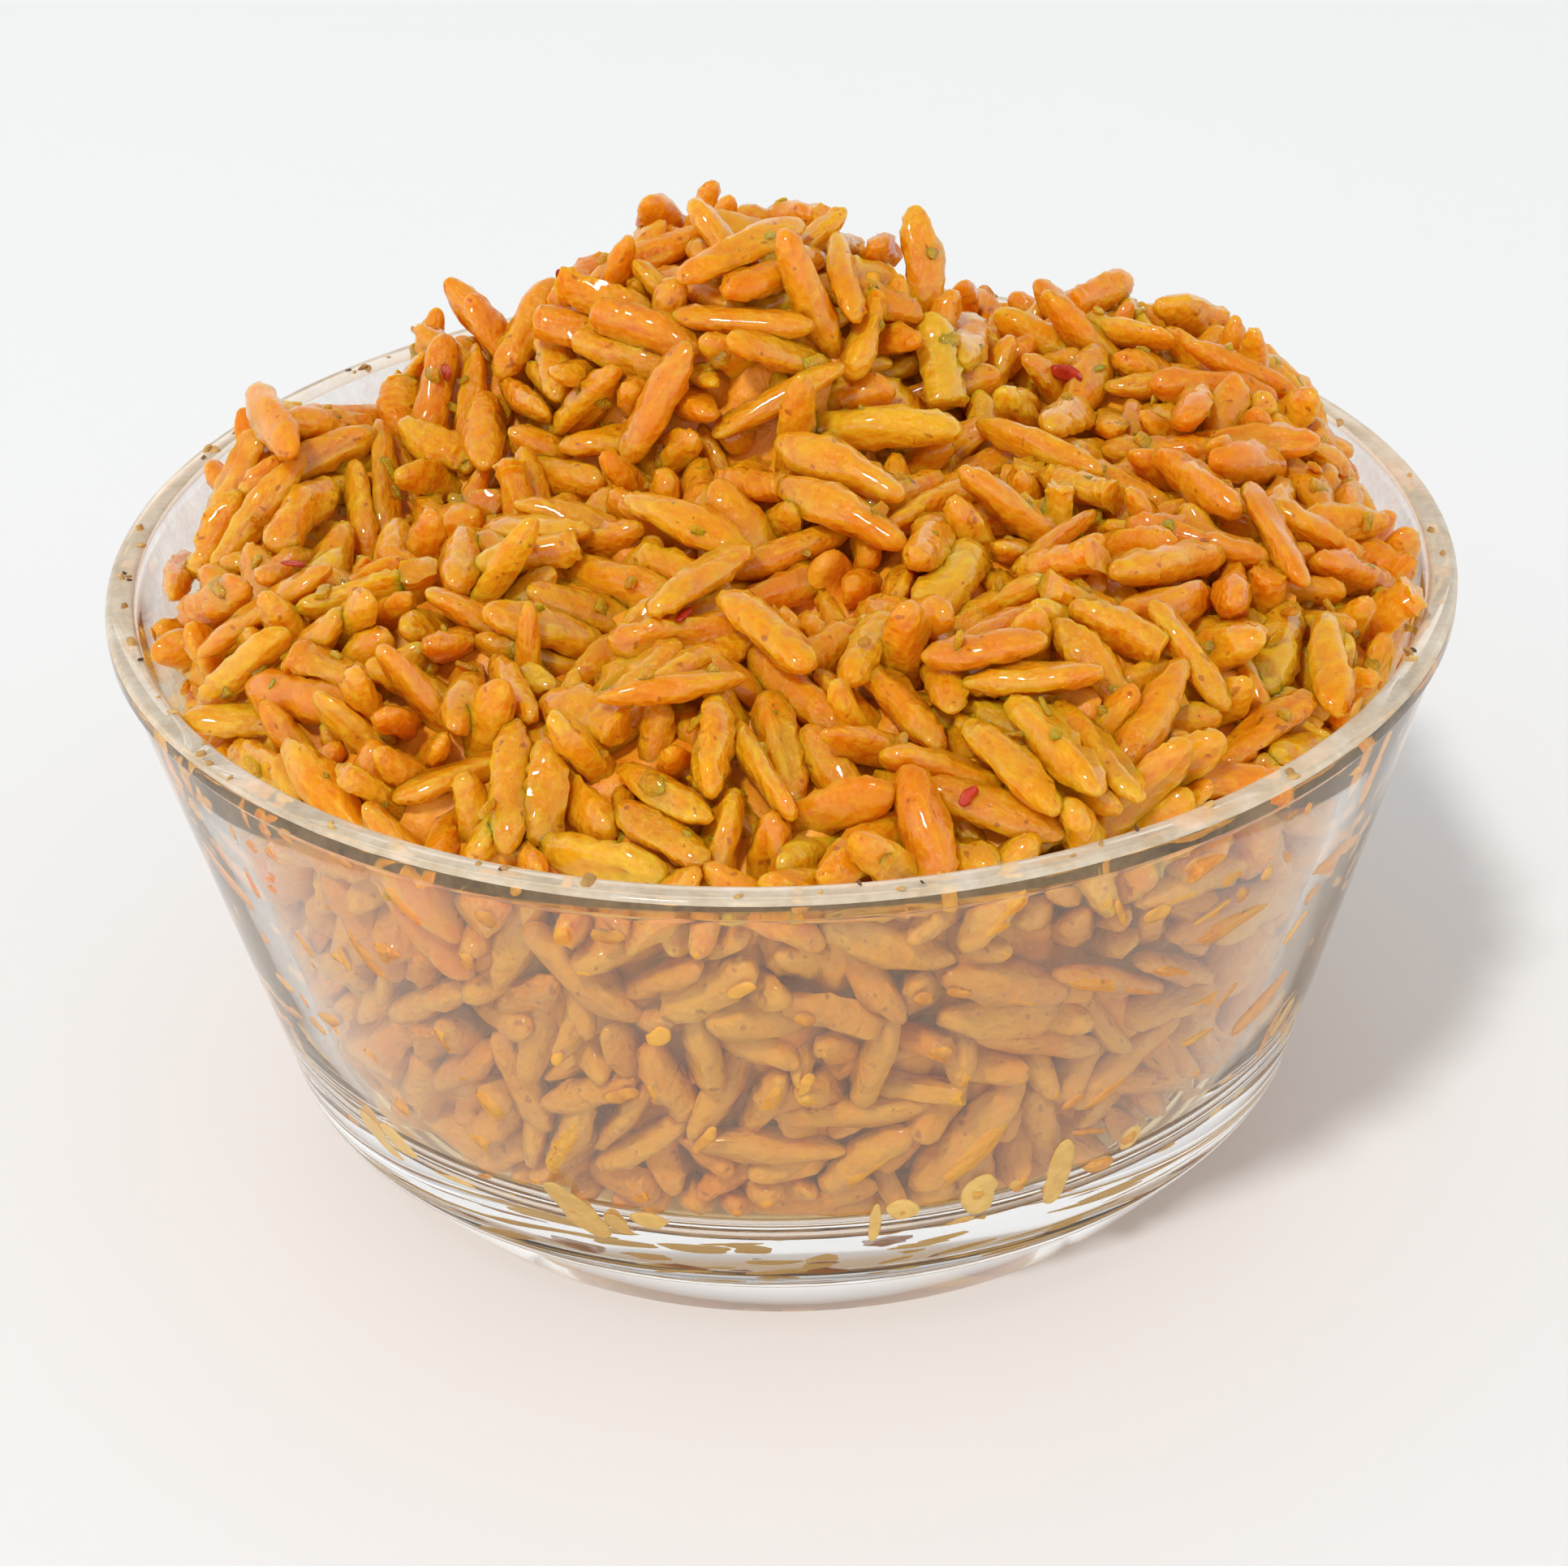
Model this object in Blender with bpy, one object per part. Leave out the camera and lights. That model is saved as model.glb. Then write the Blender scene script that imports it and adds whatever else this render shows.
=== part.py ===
"""A small tapered glass bowl heaped with long-grain rice.

Two sub-parts: the turned glass bowl, and the heap of rice as one closed solid.
The origin is at the centre of the bowl's foot, +Z up. All sizes are in metres.
"""
import math
from collections import namedtuple

import bmesh
import bpy

MM = 0.001

# The bowl. The undercut between heel and foot faces out and down at UNDERCUT_NORMAL degrees.
RIM_RADIUS = 45.0 * MM
BOWL_HEIGHT = 41.0 * MM
LIP_THICKNESS = 1.95 * MM
LIP_HEIGHT = 1.2 * MM
LIP_ROUNDING = 0.45 * MM
LIP_STEP = 0.5 * MM
HEEL_RADIUS = 36.0 * MM
HEEL_HEIGHT = 6.8 * MM
HEEL_ROUNDING = 1.2 * MM
FOOT_RADIUS = 31.0 * MM
FOOT_ROUNDING = 0.6 * MM
FOOT_RING_WIDTH = 2.6 * MM
RECESS_DEPTH = 0.9 * MM
UNDERCUT_NORMAL = -40.0
FLOOR_HEIGHT = 9.0 * MM
FLOOR_CORNER = 5.0 * MM
INNER_TAPER = 0.28
BOWL_SEGMENTS = 80
ARC_STEPS = 4
MERGE_DISTANCE = 0.05 * MM

# The heap of rice. Its dome rises to DOME_CROWN above the rim, with a fine ripple over it.
GLASS_GAP = 0.3 * MM
DOME_CROWN = 7.0 * MM
GRID_CELLS = 40
SIDE_RINGS = 5
CORNER_RINGS = 3
RIPPLE_HEIGHT = 0.45 * MM
RIPPLE_LENGTH = 6.5 * MM
RIPPLE_WANDER = 1.3
EDGE_FADE = 12

# How far below the rim the rice meets the glass, and how square the heap's
# shoulder is there, at compass points counted anticlockwise from the right.
EdgePoint = namedtuple("EdgePoint", "angle drop squareness")
EDGE_POINTS = (
    EdgePoint(0.0, 3.5 * MM, 11.0),
    EdgePoint(45.0, 1.0 * MM, 9.0),
    EdgePoint(90.0, 4.5 * MM, 4.0),
    EdgePoint(135.0, 11.0 * MM, 3.0),
    EdgePoint(180.0, 6.5 * MM, 13.0),
    EdgePoint(225.0, 2.5 * MM, 6.0),
    EdgePoint(270.0, 1.0 * MM, 3.5),
    EdgePoint(315.0, 1.0 * MM, 4.5),
)

# Lumps and hollows on the dome: centre, height and reach. A lump with a high
# squareness has a broad top and steep sides.
Lump = namedtuple("Lump", "x y height reach squareness")
LUMPS = (
    Lump(-2.2 * MM, 12.0 * MM, 10.5 * MM, 16.0 * MM, 6.0),
    Lump(28.0 * MM, 19.0 * MM, 2.5 * MM, 12.0 * MM, 3.0),
    Lump(16.0 * MM, 26.0 * MM, -2.5 * MM, 8.0 * MM, 2.0),
    Lump(-34.5 * MM, 6.0 * MM, 3.5 * MM, 8.0 * MM, 3.0),
    Lump(-20.0 * MM, 16.0 * MM, 5.5 * MM, 9.0 * MM, 3.0),
    Lump(-24.0 * MM, -2.0 * MM, -4.5 * MM, 9.0 * MM, 2.0),
    Lump(19.0 * MM, -24.0 * MM, 2.5 * MM, 11.0 * MM, 2.0),
    Lump(-13.0 * MM, -22.0 * MM, -2.5 * MM, 7.0 * MM, 2.0),
    Lump(2.0 * MM, -6.0 * MM, 2.0 * MM, 12.0 * MM, 2.0),
    Lump(0.0, 34.0 * MM, -3.0 * MM, 13.0 * MM, 2.0),
)


def arc(centre_r, centre_z, radius, start, end, steps=ARC_STEPS):
    """Return (r, z) points along an arc, its angles in degrees from +r."""
    points = []
    for step in range(steps + 1):
        angle = math.radians(start + (end - start) * step / steps)
        points.append((centre_r + radius * math.cos(angle), centre_z + radius * math.sin(angle)))
    return points


def inner_wall_radius(height):
    """Return the radius of the bowl's straight inner wall at a height."""
    top_radius = RIM_RADIUS - LIP_THICKNESS
    return top_radius - INNER_TAPER * (BOWL_HEIGHT - height)


def corner_centre():
    """Return (r, z) of the centre of the rounding between floor and wall."""
    height = FLOOR_HEIGHT + FLOOR_CORNER
    wall_slant = math.hypot(1.0, INNER_TAPER)
    return inner_wall_radius(height) - FLOOR_CORNER * wall_slant, height


def bowl_profile():
    """Return the (r, z) outline of the glass, from the floor's centre round to the foot's."""
    wall_angle = math.degrees(math.atan(INNER_TAPER))
    corner_r, corner_z = corner_centre()
    lip_inner = RIM_RADIUS - LIP_THICKNESS
    lip_base = BOWL_HEIGHT - LIP_HEIGHT
    foot_inner = FOOT_RADIUS - FOOT_ROUNDING - FOOT_RING_WIDTH
    profile = [(0.0, FLOOR_HEIGHT), (corner_r / 2, FLOOR_HEIGHT)]
    profile += arc(corner_r, corner_z, FLOOR_CORNER, -90.0, -wall_angle)
    profile += arc(lip_inner + LIP_ROUNDING, BOWL_HEIGHT - LIP_ROUNDING, LIP_ROUNDING, 180.0, 90.0, 2)
    profile += arc(RIM_RADIUS - LIP_ROUNDING, BOWL_HEIGHT - LIP_ROUNDING, LIP_ROUNDING, 90.0, 0.0, 2)
    profile += [(RIM_RADIUS, lip_base), (RIM_RADIUS - LIP_STEP, lip_base - LIP_STEP)]
    profile += arc(HEEL_RADIUS - HEEL_ROUNDING, HEEL_HEIGHT, HEEL_ROUNDING, 0.0, UNDERCUT_NORMAL, 3)
    profile += arc(FOOT_RADIUS - FOOT_ROUNDING, FOOT_ROUNDING, FOOT_ROUNDING, UNDERCUT_NORMAL, -90.0, 2)
    profile += [(foot_inner, 0.0), (foot_inner - RECESS_DEPTH, RECESS_DEPTH), (0.0, RECESS_DEPTH)]
    return profile


def edge_value(angle, field):
    """Return a field of EDGE_POINTS at an angle in degrees, eased between its neighbours."""
    spacing = 360.0 / len(EDGE_POINTS)
    place = (angle % 360.0) / spacing
    index = int(place)
    ease = place - index
    ease = ease * ease * (3.0 - 2.0 * ease)
    before = getattr(EDGE_POINTS[index % len(EDGE_POINTS)], field)
    after = getattr(EDGE_POINTS[(index + 1) % len(EDGE_POINTS)], field)
    return before + (after - before) * ease


def edge_radius(angle):
    """Return the radius at which the heap meets the glass, less the gap."""
    height = BOWL_HEIGHT - edge_value(angle, "drop")
    return inner_wall_radius(height) - GLASS_GAP * math.hypot(1.0, INNER_TAPER)


def heap_height(x, y):
    """Return the height of the heap's surface at a place inside its edge."""
    angle = math.degrees(math.atan2(y, x))
    share = min(1.0, math.hypot(x, y) / edge_radius(angle))
    drop = edge_value(angle, "drop")
    fall = share ** edge_value(angle, "squareness")
    height = BOWL_HEIGHT - drop + (DOME_CROWN + drop) * (1.0 - fall)
    fade = 1.0 - share ** EDGE_FADE
    for lump in LUMPS:
        away = math.hypot(x - lump.x, y - lump.y) / lump.reach
        if away < 1.0:
            height += fade * lump.height * (1.0 - away ** lump.squareness) ** 2
    turn = 2.0 * math.pi / RIPPLE_LENGTH
    across = turn * x + RIPPLE_WANDER * math.sin(turn * y / 2.0)
    along = turn * y + RIPPLE_WANDER * math.sin(turn * x / 2.0)
    return height + fade * RIPPLE_HEIGHT * math.sin(across) * math.sin(along)


def disc_place(across, along):
    """Map a place in the square from -1 to 1 onto the unit disc, as (share, angle in degrees)."""
    if across == 0.0 and along == 0.0:
        return 0.0, 0.0
    if abs(across) > abs(along):
        share = across
        angle = 45.0 * along / across
    else:
        share = along
        angle = 90.0 - 45.0 * across / along
    if share < 0.0:
        return -share, angle + 180.0
    return share, angle


def make_material(name, colour, roughness, transmission=0.0):
    """Return a Principled material."""
    material = bpy.data.materials.new(name)
    material.use_nodes = True
    shader = material.node_tree.nodes["Principled BSDF"]
    shader.inputs["Base Color"].default_value = (*colour, 1.0)
    shader.inputs["Roughness"].default_value = roughness
    shader.inputs["Metallic"].default_value = 0.0
    shader.inputs["Transmission Weight"].default_value = transmission
    return material


def add_object(name, bm, material):
    """Turn a bmesh into a named object with its material."""
    mesh = bpy.data.meshes.new(name)
    bm.to_mesh(mesh)
    bm.free()
    mesh.materials.append(material)
    piece = bpy.data.objects.new(name, mesh)
    bpy.context.collection.objects.link(piece)
    return piece


def build_bowl():
    """Turn the bowl's outline about its axis."""
    bm = bmesh.new()
    rail = [bm.verts.new((radius, 0.0, height)) for radius, height in bowl_profile()]
    for first, second in zip(rail, rail[1:]):
        bm.edges.new((first, second))
    bowl = add_object("bowl", bm, make_material("clear_glass", (0.95, 0.96, 0.95), 0.03, 1.0))
    screw = bowl.modifiers.new("Turn", "SCREW")
    screw.axis = "Z"
    screw.angle = 2.0 * math.pi
    screw.steps = BOWL_SEGMENTS
    screw.render_steps = BOWL_SEGMENTS
    screw.use_merge_vertices = True
    screw.merge_threshold = MERGE_DISTANCE
    screw.use_smooth_shade = True
    return bowl


def heap_side(angle):
    """Return the (r, z) points down the heap's side at an angle, below its edge."""
    corner_r, corner_z = corner_centre()
    wall_angle = math.degrees(math.atan(INNER_TAPER))
    corner = arc(corner_r, corner_z, FLOOR_CORNER - GLASS_GAP, -wall_angle, -90.0, CORNER_RINGS)
    top = (edge_radius(angle), BOWL_HEIGHT - edge_value(angle, "drop"))
    side = []
    for ring in range(1, SIDE_RINGS):
        share = ring / SIDE_RINGS
        side.append(tuple(a + (b - a) * share for a, b in zip(top, corner[0])))
    return side + corner


def build_rice():
    """Build the heap: a grid over its top, rings down its side and a flat underside."""
    bm = bmesh.new()
    grid = {}
    rim = {}
    for row in range(GRID_CELLS + 1):
        for column in range(GRID_CELLS + 1):
            share, angle = disc_place(2.0 * column / GRID_CELLS - 1.0, 2.0 * row / GRID_CELLS - 1.0)
            radius = share * edge_radius(angle)
            x = radius * math.cos(math.radians(angle))
            y = radius * math.sin(math.radians(angle))
            grid[row, column] = bm.verts.new((x, y, heap_height(x, y)))
            if GRID_CELLS in (row, column) or 0 in (row, column):
                rim[round(angle % 360.0, 6)] = grid[row, column]
    for row in range(GRID_CELLS):
        for column in range(GRID_CELLS):
            corners = ((row, column), (row, column + 1), (row + 1, column + 1), (row + 1, column))
            bm.faces.new([grid[corner] for corner in corners])
    angles = sorted(rim)
    loops = [[rim[angle] for angle in angles]]
    sides = [heap_side(angle) for angle in angles]
    for ring in range(len(sides[0])):
        loop = []
        for angle, side in zip(angles, sides):
            radius, height = side[ring]
            turn = math.radians(angle)
            loop.append(bm.verts.new((radius * math.cos(turn), radius * math.sin(turn), height)))
        loops.append(loop)
    for upper, lower in zip(loops, loops[1:]):
        for here in range(len(angles)):
            after = (here + 1) % len(angles)
            bm.faces.new((upper[here], lower[here], lower[after], upper[after]))
    bm.faces.new(list(reversed(loops[-1])))
    bmesh.ops.recalc_face_normals(bm, faces=bm.faces)
    for face in bm.faces:
        face.smooth = True
    return add_object("rice", bm, make_material("cooked_rice", (0.80, 0.36, 0.03), 0.45))


def main():
    """Clear the scene's objects and build the bowl and the rice."""
    for piece in list(bpy.data.objects):
        bpy.data.objects.remove(piece, do_unlink=True)
    build_bowl()
    build_rice()


main()
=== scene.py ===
"""Jollof rice heaped in a small clear glass bowl: the looks of the part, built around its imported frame.

The heap is loose grains that settle under the outline of the frame's rice, over a smaller core. The
bowl is a finer turned glass on the same outline as the frame's. Lengths are in metres, apart from the
heap's outline, the packing of the grains and the trimmings, which work in millimetres.
"""

import sys

import logging
import math
from dataclasses import dataclass, field
from enum import Enum
from typing import Any, Sequence

import bpy
import numpy as np
from mathutils import Matrix, Vector
from mathutils.bvhtree import BVHTree


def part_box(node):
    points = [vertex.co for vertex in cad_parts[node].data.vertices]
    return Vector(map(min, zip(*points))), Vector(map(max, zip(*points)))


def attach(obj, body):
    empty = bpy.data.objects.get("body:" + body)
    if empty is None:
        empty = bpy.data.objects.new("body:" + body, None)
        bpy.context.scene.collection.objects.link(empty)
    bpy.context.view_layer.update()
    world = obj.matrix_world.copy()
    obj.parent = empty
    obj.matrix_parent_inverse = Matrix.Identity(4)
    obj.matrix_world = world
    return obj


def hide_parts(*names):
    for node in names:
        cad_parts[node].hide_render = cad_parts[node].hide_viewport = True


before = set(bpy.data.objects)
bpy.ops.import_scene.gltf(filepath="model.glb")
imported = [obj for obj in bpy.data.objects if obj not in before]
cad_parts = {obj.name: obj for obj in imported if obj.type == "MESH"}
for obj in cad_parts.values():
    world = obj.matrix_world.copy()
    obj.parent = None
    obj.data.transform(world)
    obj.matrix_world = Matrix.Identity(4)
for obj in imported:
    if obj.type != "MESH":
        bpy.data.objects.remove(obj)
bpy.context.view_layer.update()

LOG = logging.getLogger("rice_bowl")
MM = 0.001
BOW_DEPTH = 1.4
USUAL_GRAIN = (8.8, 2.6, 2.6)


class Slot(Enum):
    """The record's material slots."""

    GLASS = "clear_glass"
    RICE = "cooked_rice"


class GrainKind(Enum):
    """What a cooked grain looks like."""

    WHOLE = "whole"
    SLENDER = "slender"
    SPLIT = "split"
    BROKEN = "broken"


class Layer(Enum):
    """Where a grain lies, which settles how fine its mesh is."""

    TOP = "top"
    SIDE = "side"
    DEEP = "deep"


# ---------------------------------------------------------------- shader sums


class Signal:
    """A node's output, on which sums are written as plain expressions."""

    def __init__(self, bench: "Bench", socket: bpy.types.NodeSocket) -> None:
        """Wraps one output socket of a bench's tree."""
        self.bench = bench
        self.socket = socket

    def _sum(self, operation: str, *values: "Signal | float") -> "Signal":
        """One Math node over the values."""
        return self.bench.node("ShaderNodeMath", {"operation": operation}, dict(enumerate(values)))

    def __add__(self, other: "Signal | float") -> "Signal":
        """self + other."""
        return self._sum("ADD", self, other)

    def __radd__(self, other: float) -> "Signal":
        """other + self."""
        return self._sum("ADD", other, self)

    def __sub__(self, other: "Signal | float") -> "Signal":
        """self - other."""
        return self._sum("SUBTRACT", self, other)

    def __rsub__(self, other: float) -> "Signal":
        """other - self."""
        return self._sum("SUBTRACT", other, self)

    def __mul__(self, other: "Signal | float") -> "Signal":
        """self * other."""
        return self._sum("MULTIPLY", self, other)

    def __rmul__(self, other: float) -> "Signal":
        """other * self."""
        return self._sum("MULTIPLY", other, self)

    def step(self, start: float, end: float) -> "Signal":
        """0 below start and 1 above end, smooth between them.

        Args:
            start: The value where the step begins.
            end: The value where it is complete.

        Returns:
            The stepped signal.
        """
        sockets = {"Value": self, "From Min": start, "From Max": end}
        return self.bench.node("ShaderNodeMapRange", {"interpolation_type": "SMOOTHSTEP"}, sockets)


class Bench:
    """A material or world tree that is being built."""

    def __init__(self, tree: bpy.types.NodeTree) -> None:
        """Empties the tree and keeps it."""
        self.tree = tree
        tree.nodes.clear()

    def node(
        self,
        kind: str,
        settings: dict[str, Any] | None = None,
        sockets: dict[Any, Any] | None = None,
        output: int | str = 0,
    ) -> Signal:
        """Adds one node.

        Args:
            kind: The node's type.
            settings: Its own settings, which are set first; "stops" are a ramp's (place, colour) pairs.
            sockets: Values or signals for its inputs, by name or number.
            output: The output to return.

        Returns:
            That output as a signal.
        """
        made = self.tree.nodes.new(kind)
        for name, value in (settings or {}).items():
            if name == "stops":
                self._set_stops(made.color_ramp, value)
            else:
                setattr(made, name, value)
        for name, value in (sockets or {}).items():
            if isinstance(value, Signal):
                self.tree.links.new(value.socket, made.inputs[name])
            else:
                made.inputs[name].default_value = value
        outputs = made.outputs
        return Signal(self, outputs[output]) if len(outputs) else Signal(self, None)

    @staticmethod
    def _set_stops(ramp: bpy.types.ColorRamp, stops: Sequence[tuple[float, Sequence[float]]]) -> None:
        """Gives a ramp its stops.

        Args:
            ramp: The ramp of a Color Ramp node.
            stops: (place, colour) pairs in rising order.
        """
        while len(ramp.elements) < len(stops):
            ramp.elements.new(1.0)
        for element, (place, colour) in zip(ramp.elements, stops):
            element.position = place
            element.color = colour

    def ramp(self, value: Signal, stops: Sequence[tuple[float, Sequence[float]]]) -> Signal:
        """The colour that a ramp gives for a value."""
        return self.node("ShaderNodeValToRGB", {"stops": stops}, {0: value})

    def blend(self, amount: Signal | float, first: Any, second: Any, mode: str = "MIX") -> Signal:
        """Two colours mixed.

        Args:
            amount: How much of the second colour.
            first: The first colour.
            second: The second colour.
            mode: The Mix node's blend mode.

        Returns:
            The mixed colour.
        """
        sockets = {0: amount, 6: first, 7: second}
        return self.node("ShaderNodeMix", {"data_type": "RGBA", "blend_type": mode}, sockets, 2)

    def attribute(self, name: str, output: str = "Fac") -> Signal:
        """A value kept on the mesh."""
        return self.node("ShaderNodeAttribute", {"attribute_name": name}, output=output)

    def place(self) -> Signal:
        """Object coordinates, in metres."""
        return self.node("ShaderNodeTexCoord", output="Object")

    def noise(self, place: Signal, size: float, detail: float = 2.0, stretch: Sequence[float] | None = None,
              offset: Signal | None = None) -> Signal:
        """Soft noise.

        Args:
            place: The coordinates that it is read at.
            size: The size of its blotches, in the coordinates' unit.
            detail: How many finer layers it has.
            stretch: How many times longer the blotches are along each axis.
            offset: A signal that picks another part of the noise.

        Returns:
            The noise, from 0 to 1 and about 0.5 on average.
        """
        if stretch is not None:
            scale = tuple(1 / part for part in stretch)
            place = self.node("ShaderNodeMapping", None, {"Vector": place, "Scale": scale})
        settings = {"noise_dimensions": "4D"} if offset is not None else {}
        sockets = {"Vector": place, "Scale": 1 / size, "Detail": detail}
        if offset is not None:
            sockets["W"] = offset
        return self.node("ShaderNodeTexNoise", settings, sockets)

    def bump(self, height: Signal, strength: float, depth: float) -> Signal:
        """A Normal from a height.

        Args:
            height: The height, from 0 to 1.
            strength: How much of the bump is used.
            depth: The depth of a height of 1, in metres.

        Returns:
            The bent normal.
        """
        sockets = {"Height": height, "Strength": strength, "Distance": depth}
        return self.node("ShaderNodeBump", None, sockets)

    def finish(self, shader: Signal, output: str = "ShaderNodeOutputMaterial") -> None:
        """Links a shader to the output node, which it adds."""
        self.node(output, None, {"Surface": shader})


def new_material(name: str) -> tuple[bpy.types.Material, Bench]:
    """An empty node material.

    Args:
        name: The material's name.

    Returns:
        The material, and the bench that its tree is built on.
    """
    material = bpy.data.materials.new(name)
    material.use_nodes = True
    return material, Bench(material.node_tree)


# ---------------------------------------------------------------- finishes


@dataclass(frozen=True)
class RiceFinish:
    """Wet, oily cooked rice, coloured grain by grain."""

    name: str = "jollof_grain"
    orange: tuple[float, ...] = (0.76, 0.218, 0.003, 1)
    amber: tuple[float, ...] = (0.79, 0.262, 0.004, 1)
    golden: tuple[float, ...] = (0.81, 0.335, 0.005, 1)
    yellow: tuple[float, ...] = (0.85, 0.44, 0.012, 1)
    speck: tuple[float, ...] = (0.30, 0.07, 0.006, 1)
    roughness: float = 0.36
    translucent: float = 0.85
    scatter: tuple[float, ...] = (1.0, 0.32, 0.04)
    scatter_depth: float = 3.0 * MM
    oil_patch: float = 6 * MM
    fleck_size: float = 0.8 * MM
    relief: float = 0.6 * MM

    def make(self) -> bpy.types.Material:
        """Builds the finish.

        Returns:
            The material.
        """
        material, bench = new_material(self.name)
        place = bench.place()
        local = bench.attribute("grain_place", "Vector")
        seed = bench.attribute("seed") * 40.0
        oil = bench.noise(place, self.oil_patch, 1.5)
        mottle = bench.noise(local, 1.1, 2.0, (2.0, 1.0, 1.0), seed)
        pits = bench.noise(local, 0.32, 1.0, (1.4, 1.0, 1.0), seed)
        grain = bench.noise(local, 0.60, 1.0, (3.0, 1.0, 1.0), seed)
        lumps = bench.noise(local, 0.95, 1.0, None, seed)
        height = pits * 0.32 + grain * 0.28 + lumps * 0.68
        # The tone also follows the relief. Its hollows are darker orange and its ridges lighter yellow:
        # painted shade in the hollows and painted light on the ridges.
        tone = bench.attribute("tint") + (oil - 0.5) * 0.8 + (mottle - 0.5) * 0.8 + (height - 0.64) * 1.0
        hues = ((0.0, self.orange), (0.33, self.amber), (0.62, self.golden), (1.0, self.yellow))
        colour = bench.ramp(tone, hues)
        fleck = bench.noise(place, self.fleck_size, 1.0).step(0.69, 0.74)
        colour = bench.blend(fleck * 0.6, colour, self.speck)
        sockets = {
            "Base Color": colour,
            "Roughness": self.roughness + (mottle - 0.5) * 0.3,
            "IOR": 1.42,
            "Specular IOR Level": 0.22,
            "Subsurface Weight": self.translucent,
            "Subsurface Radius": self.scatter,
            "Subsurface Scale": self.scatter_depth,
            "Coat Weight": 0.25 + oil.step(0.36, 0.52) * 0.7,
            "Coat Roughness": 0.07,
            "Normal": bench.bump(height, 1.0, self.relief),
        }
        bench.finish(bench.node("ShaderNodeBsdfPrincipled", None, sockets))
        return material


BY_THE_GLASS = RiceFinish(
    "jollof_grain_by_glass",
    orange=(0.70, 0.220, 0.010, 1),
    amber=(0.73, 0.275, 0.010, 1),
    golden=(0.75, 0.325, 0.012, 1),
    yellow=(0.78, 0.385, 0.02, 1),
    translucent=0.0,
)


@dataclass(frozen=True)
class CoreFinish:
    """The dark, oily mass of rice seen only in the gaps between grains."""

    name: str = "rice_in_the_gaps"
    deep: tuple[float, ...] = (0.80, 0.24, 0.005, 1)
    light: tuple[float, ...] = (0.92, 0.42, 0.010, 1)

    def make(self) -> bpy.types.Material:
        """Builds the finish.

        Returns:
            The material.
        """
        material, bench = new_material(self.name)
        place = bench.place()
        blotch = bench.noise(place, 3 * MM, 3.0)
        fine = bench.noise(place, 0.7 * MM, 2.0)
        colour = bench.ramp(blotch * 0.7 + fine * 0.3, ((0.35, self.deep), (0.65, self.light)))
        sockets = {
            "Base Color": colour,
            "Roughness": 0.35 + fine * 0.2,
            "Normal": bench.bump(fine, 0.8, 0.2 * MM),
        }
        bench.finish(bench.node("ShaderNodeBsdfPrincipled", None, sockets))
        return material


@dataclass(frozen=True)
class Film:
    """A thin film of starch and oil that clings to the glass."""

    pale: tuple[float, ...] = (0.58, 0.36, 0.24, 1)
    tan: tuple[float, ...] = (0.60, 0.36, 0.07, 1)
    cover: float = 0.12
    floor_pale: tuple[float, ...] = (0.97, 0.95, 0.92, 1)
    floor_cover: float = 0.03
    floor_top: float = 10.6 * MM
    fade: float = 0.8 * MM


LIP_FILM = Film(pale=(1.0, 0.94, 0.83, 1), tan=(0.80, 0.60, 0.35, 1), cover=0.60)


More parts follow.
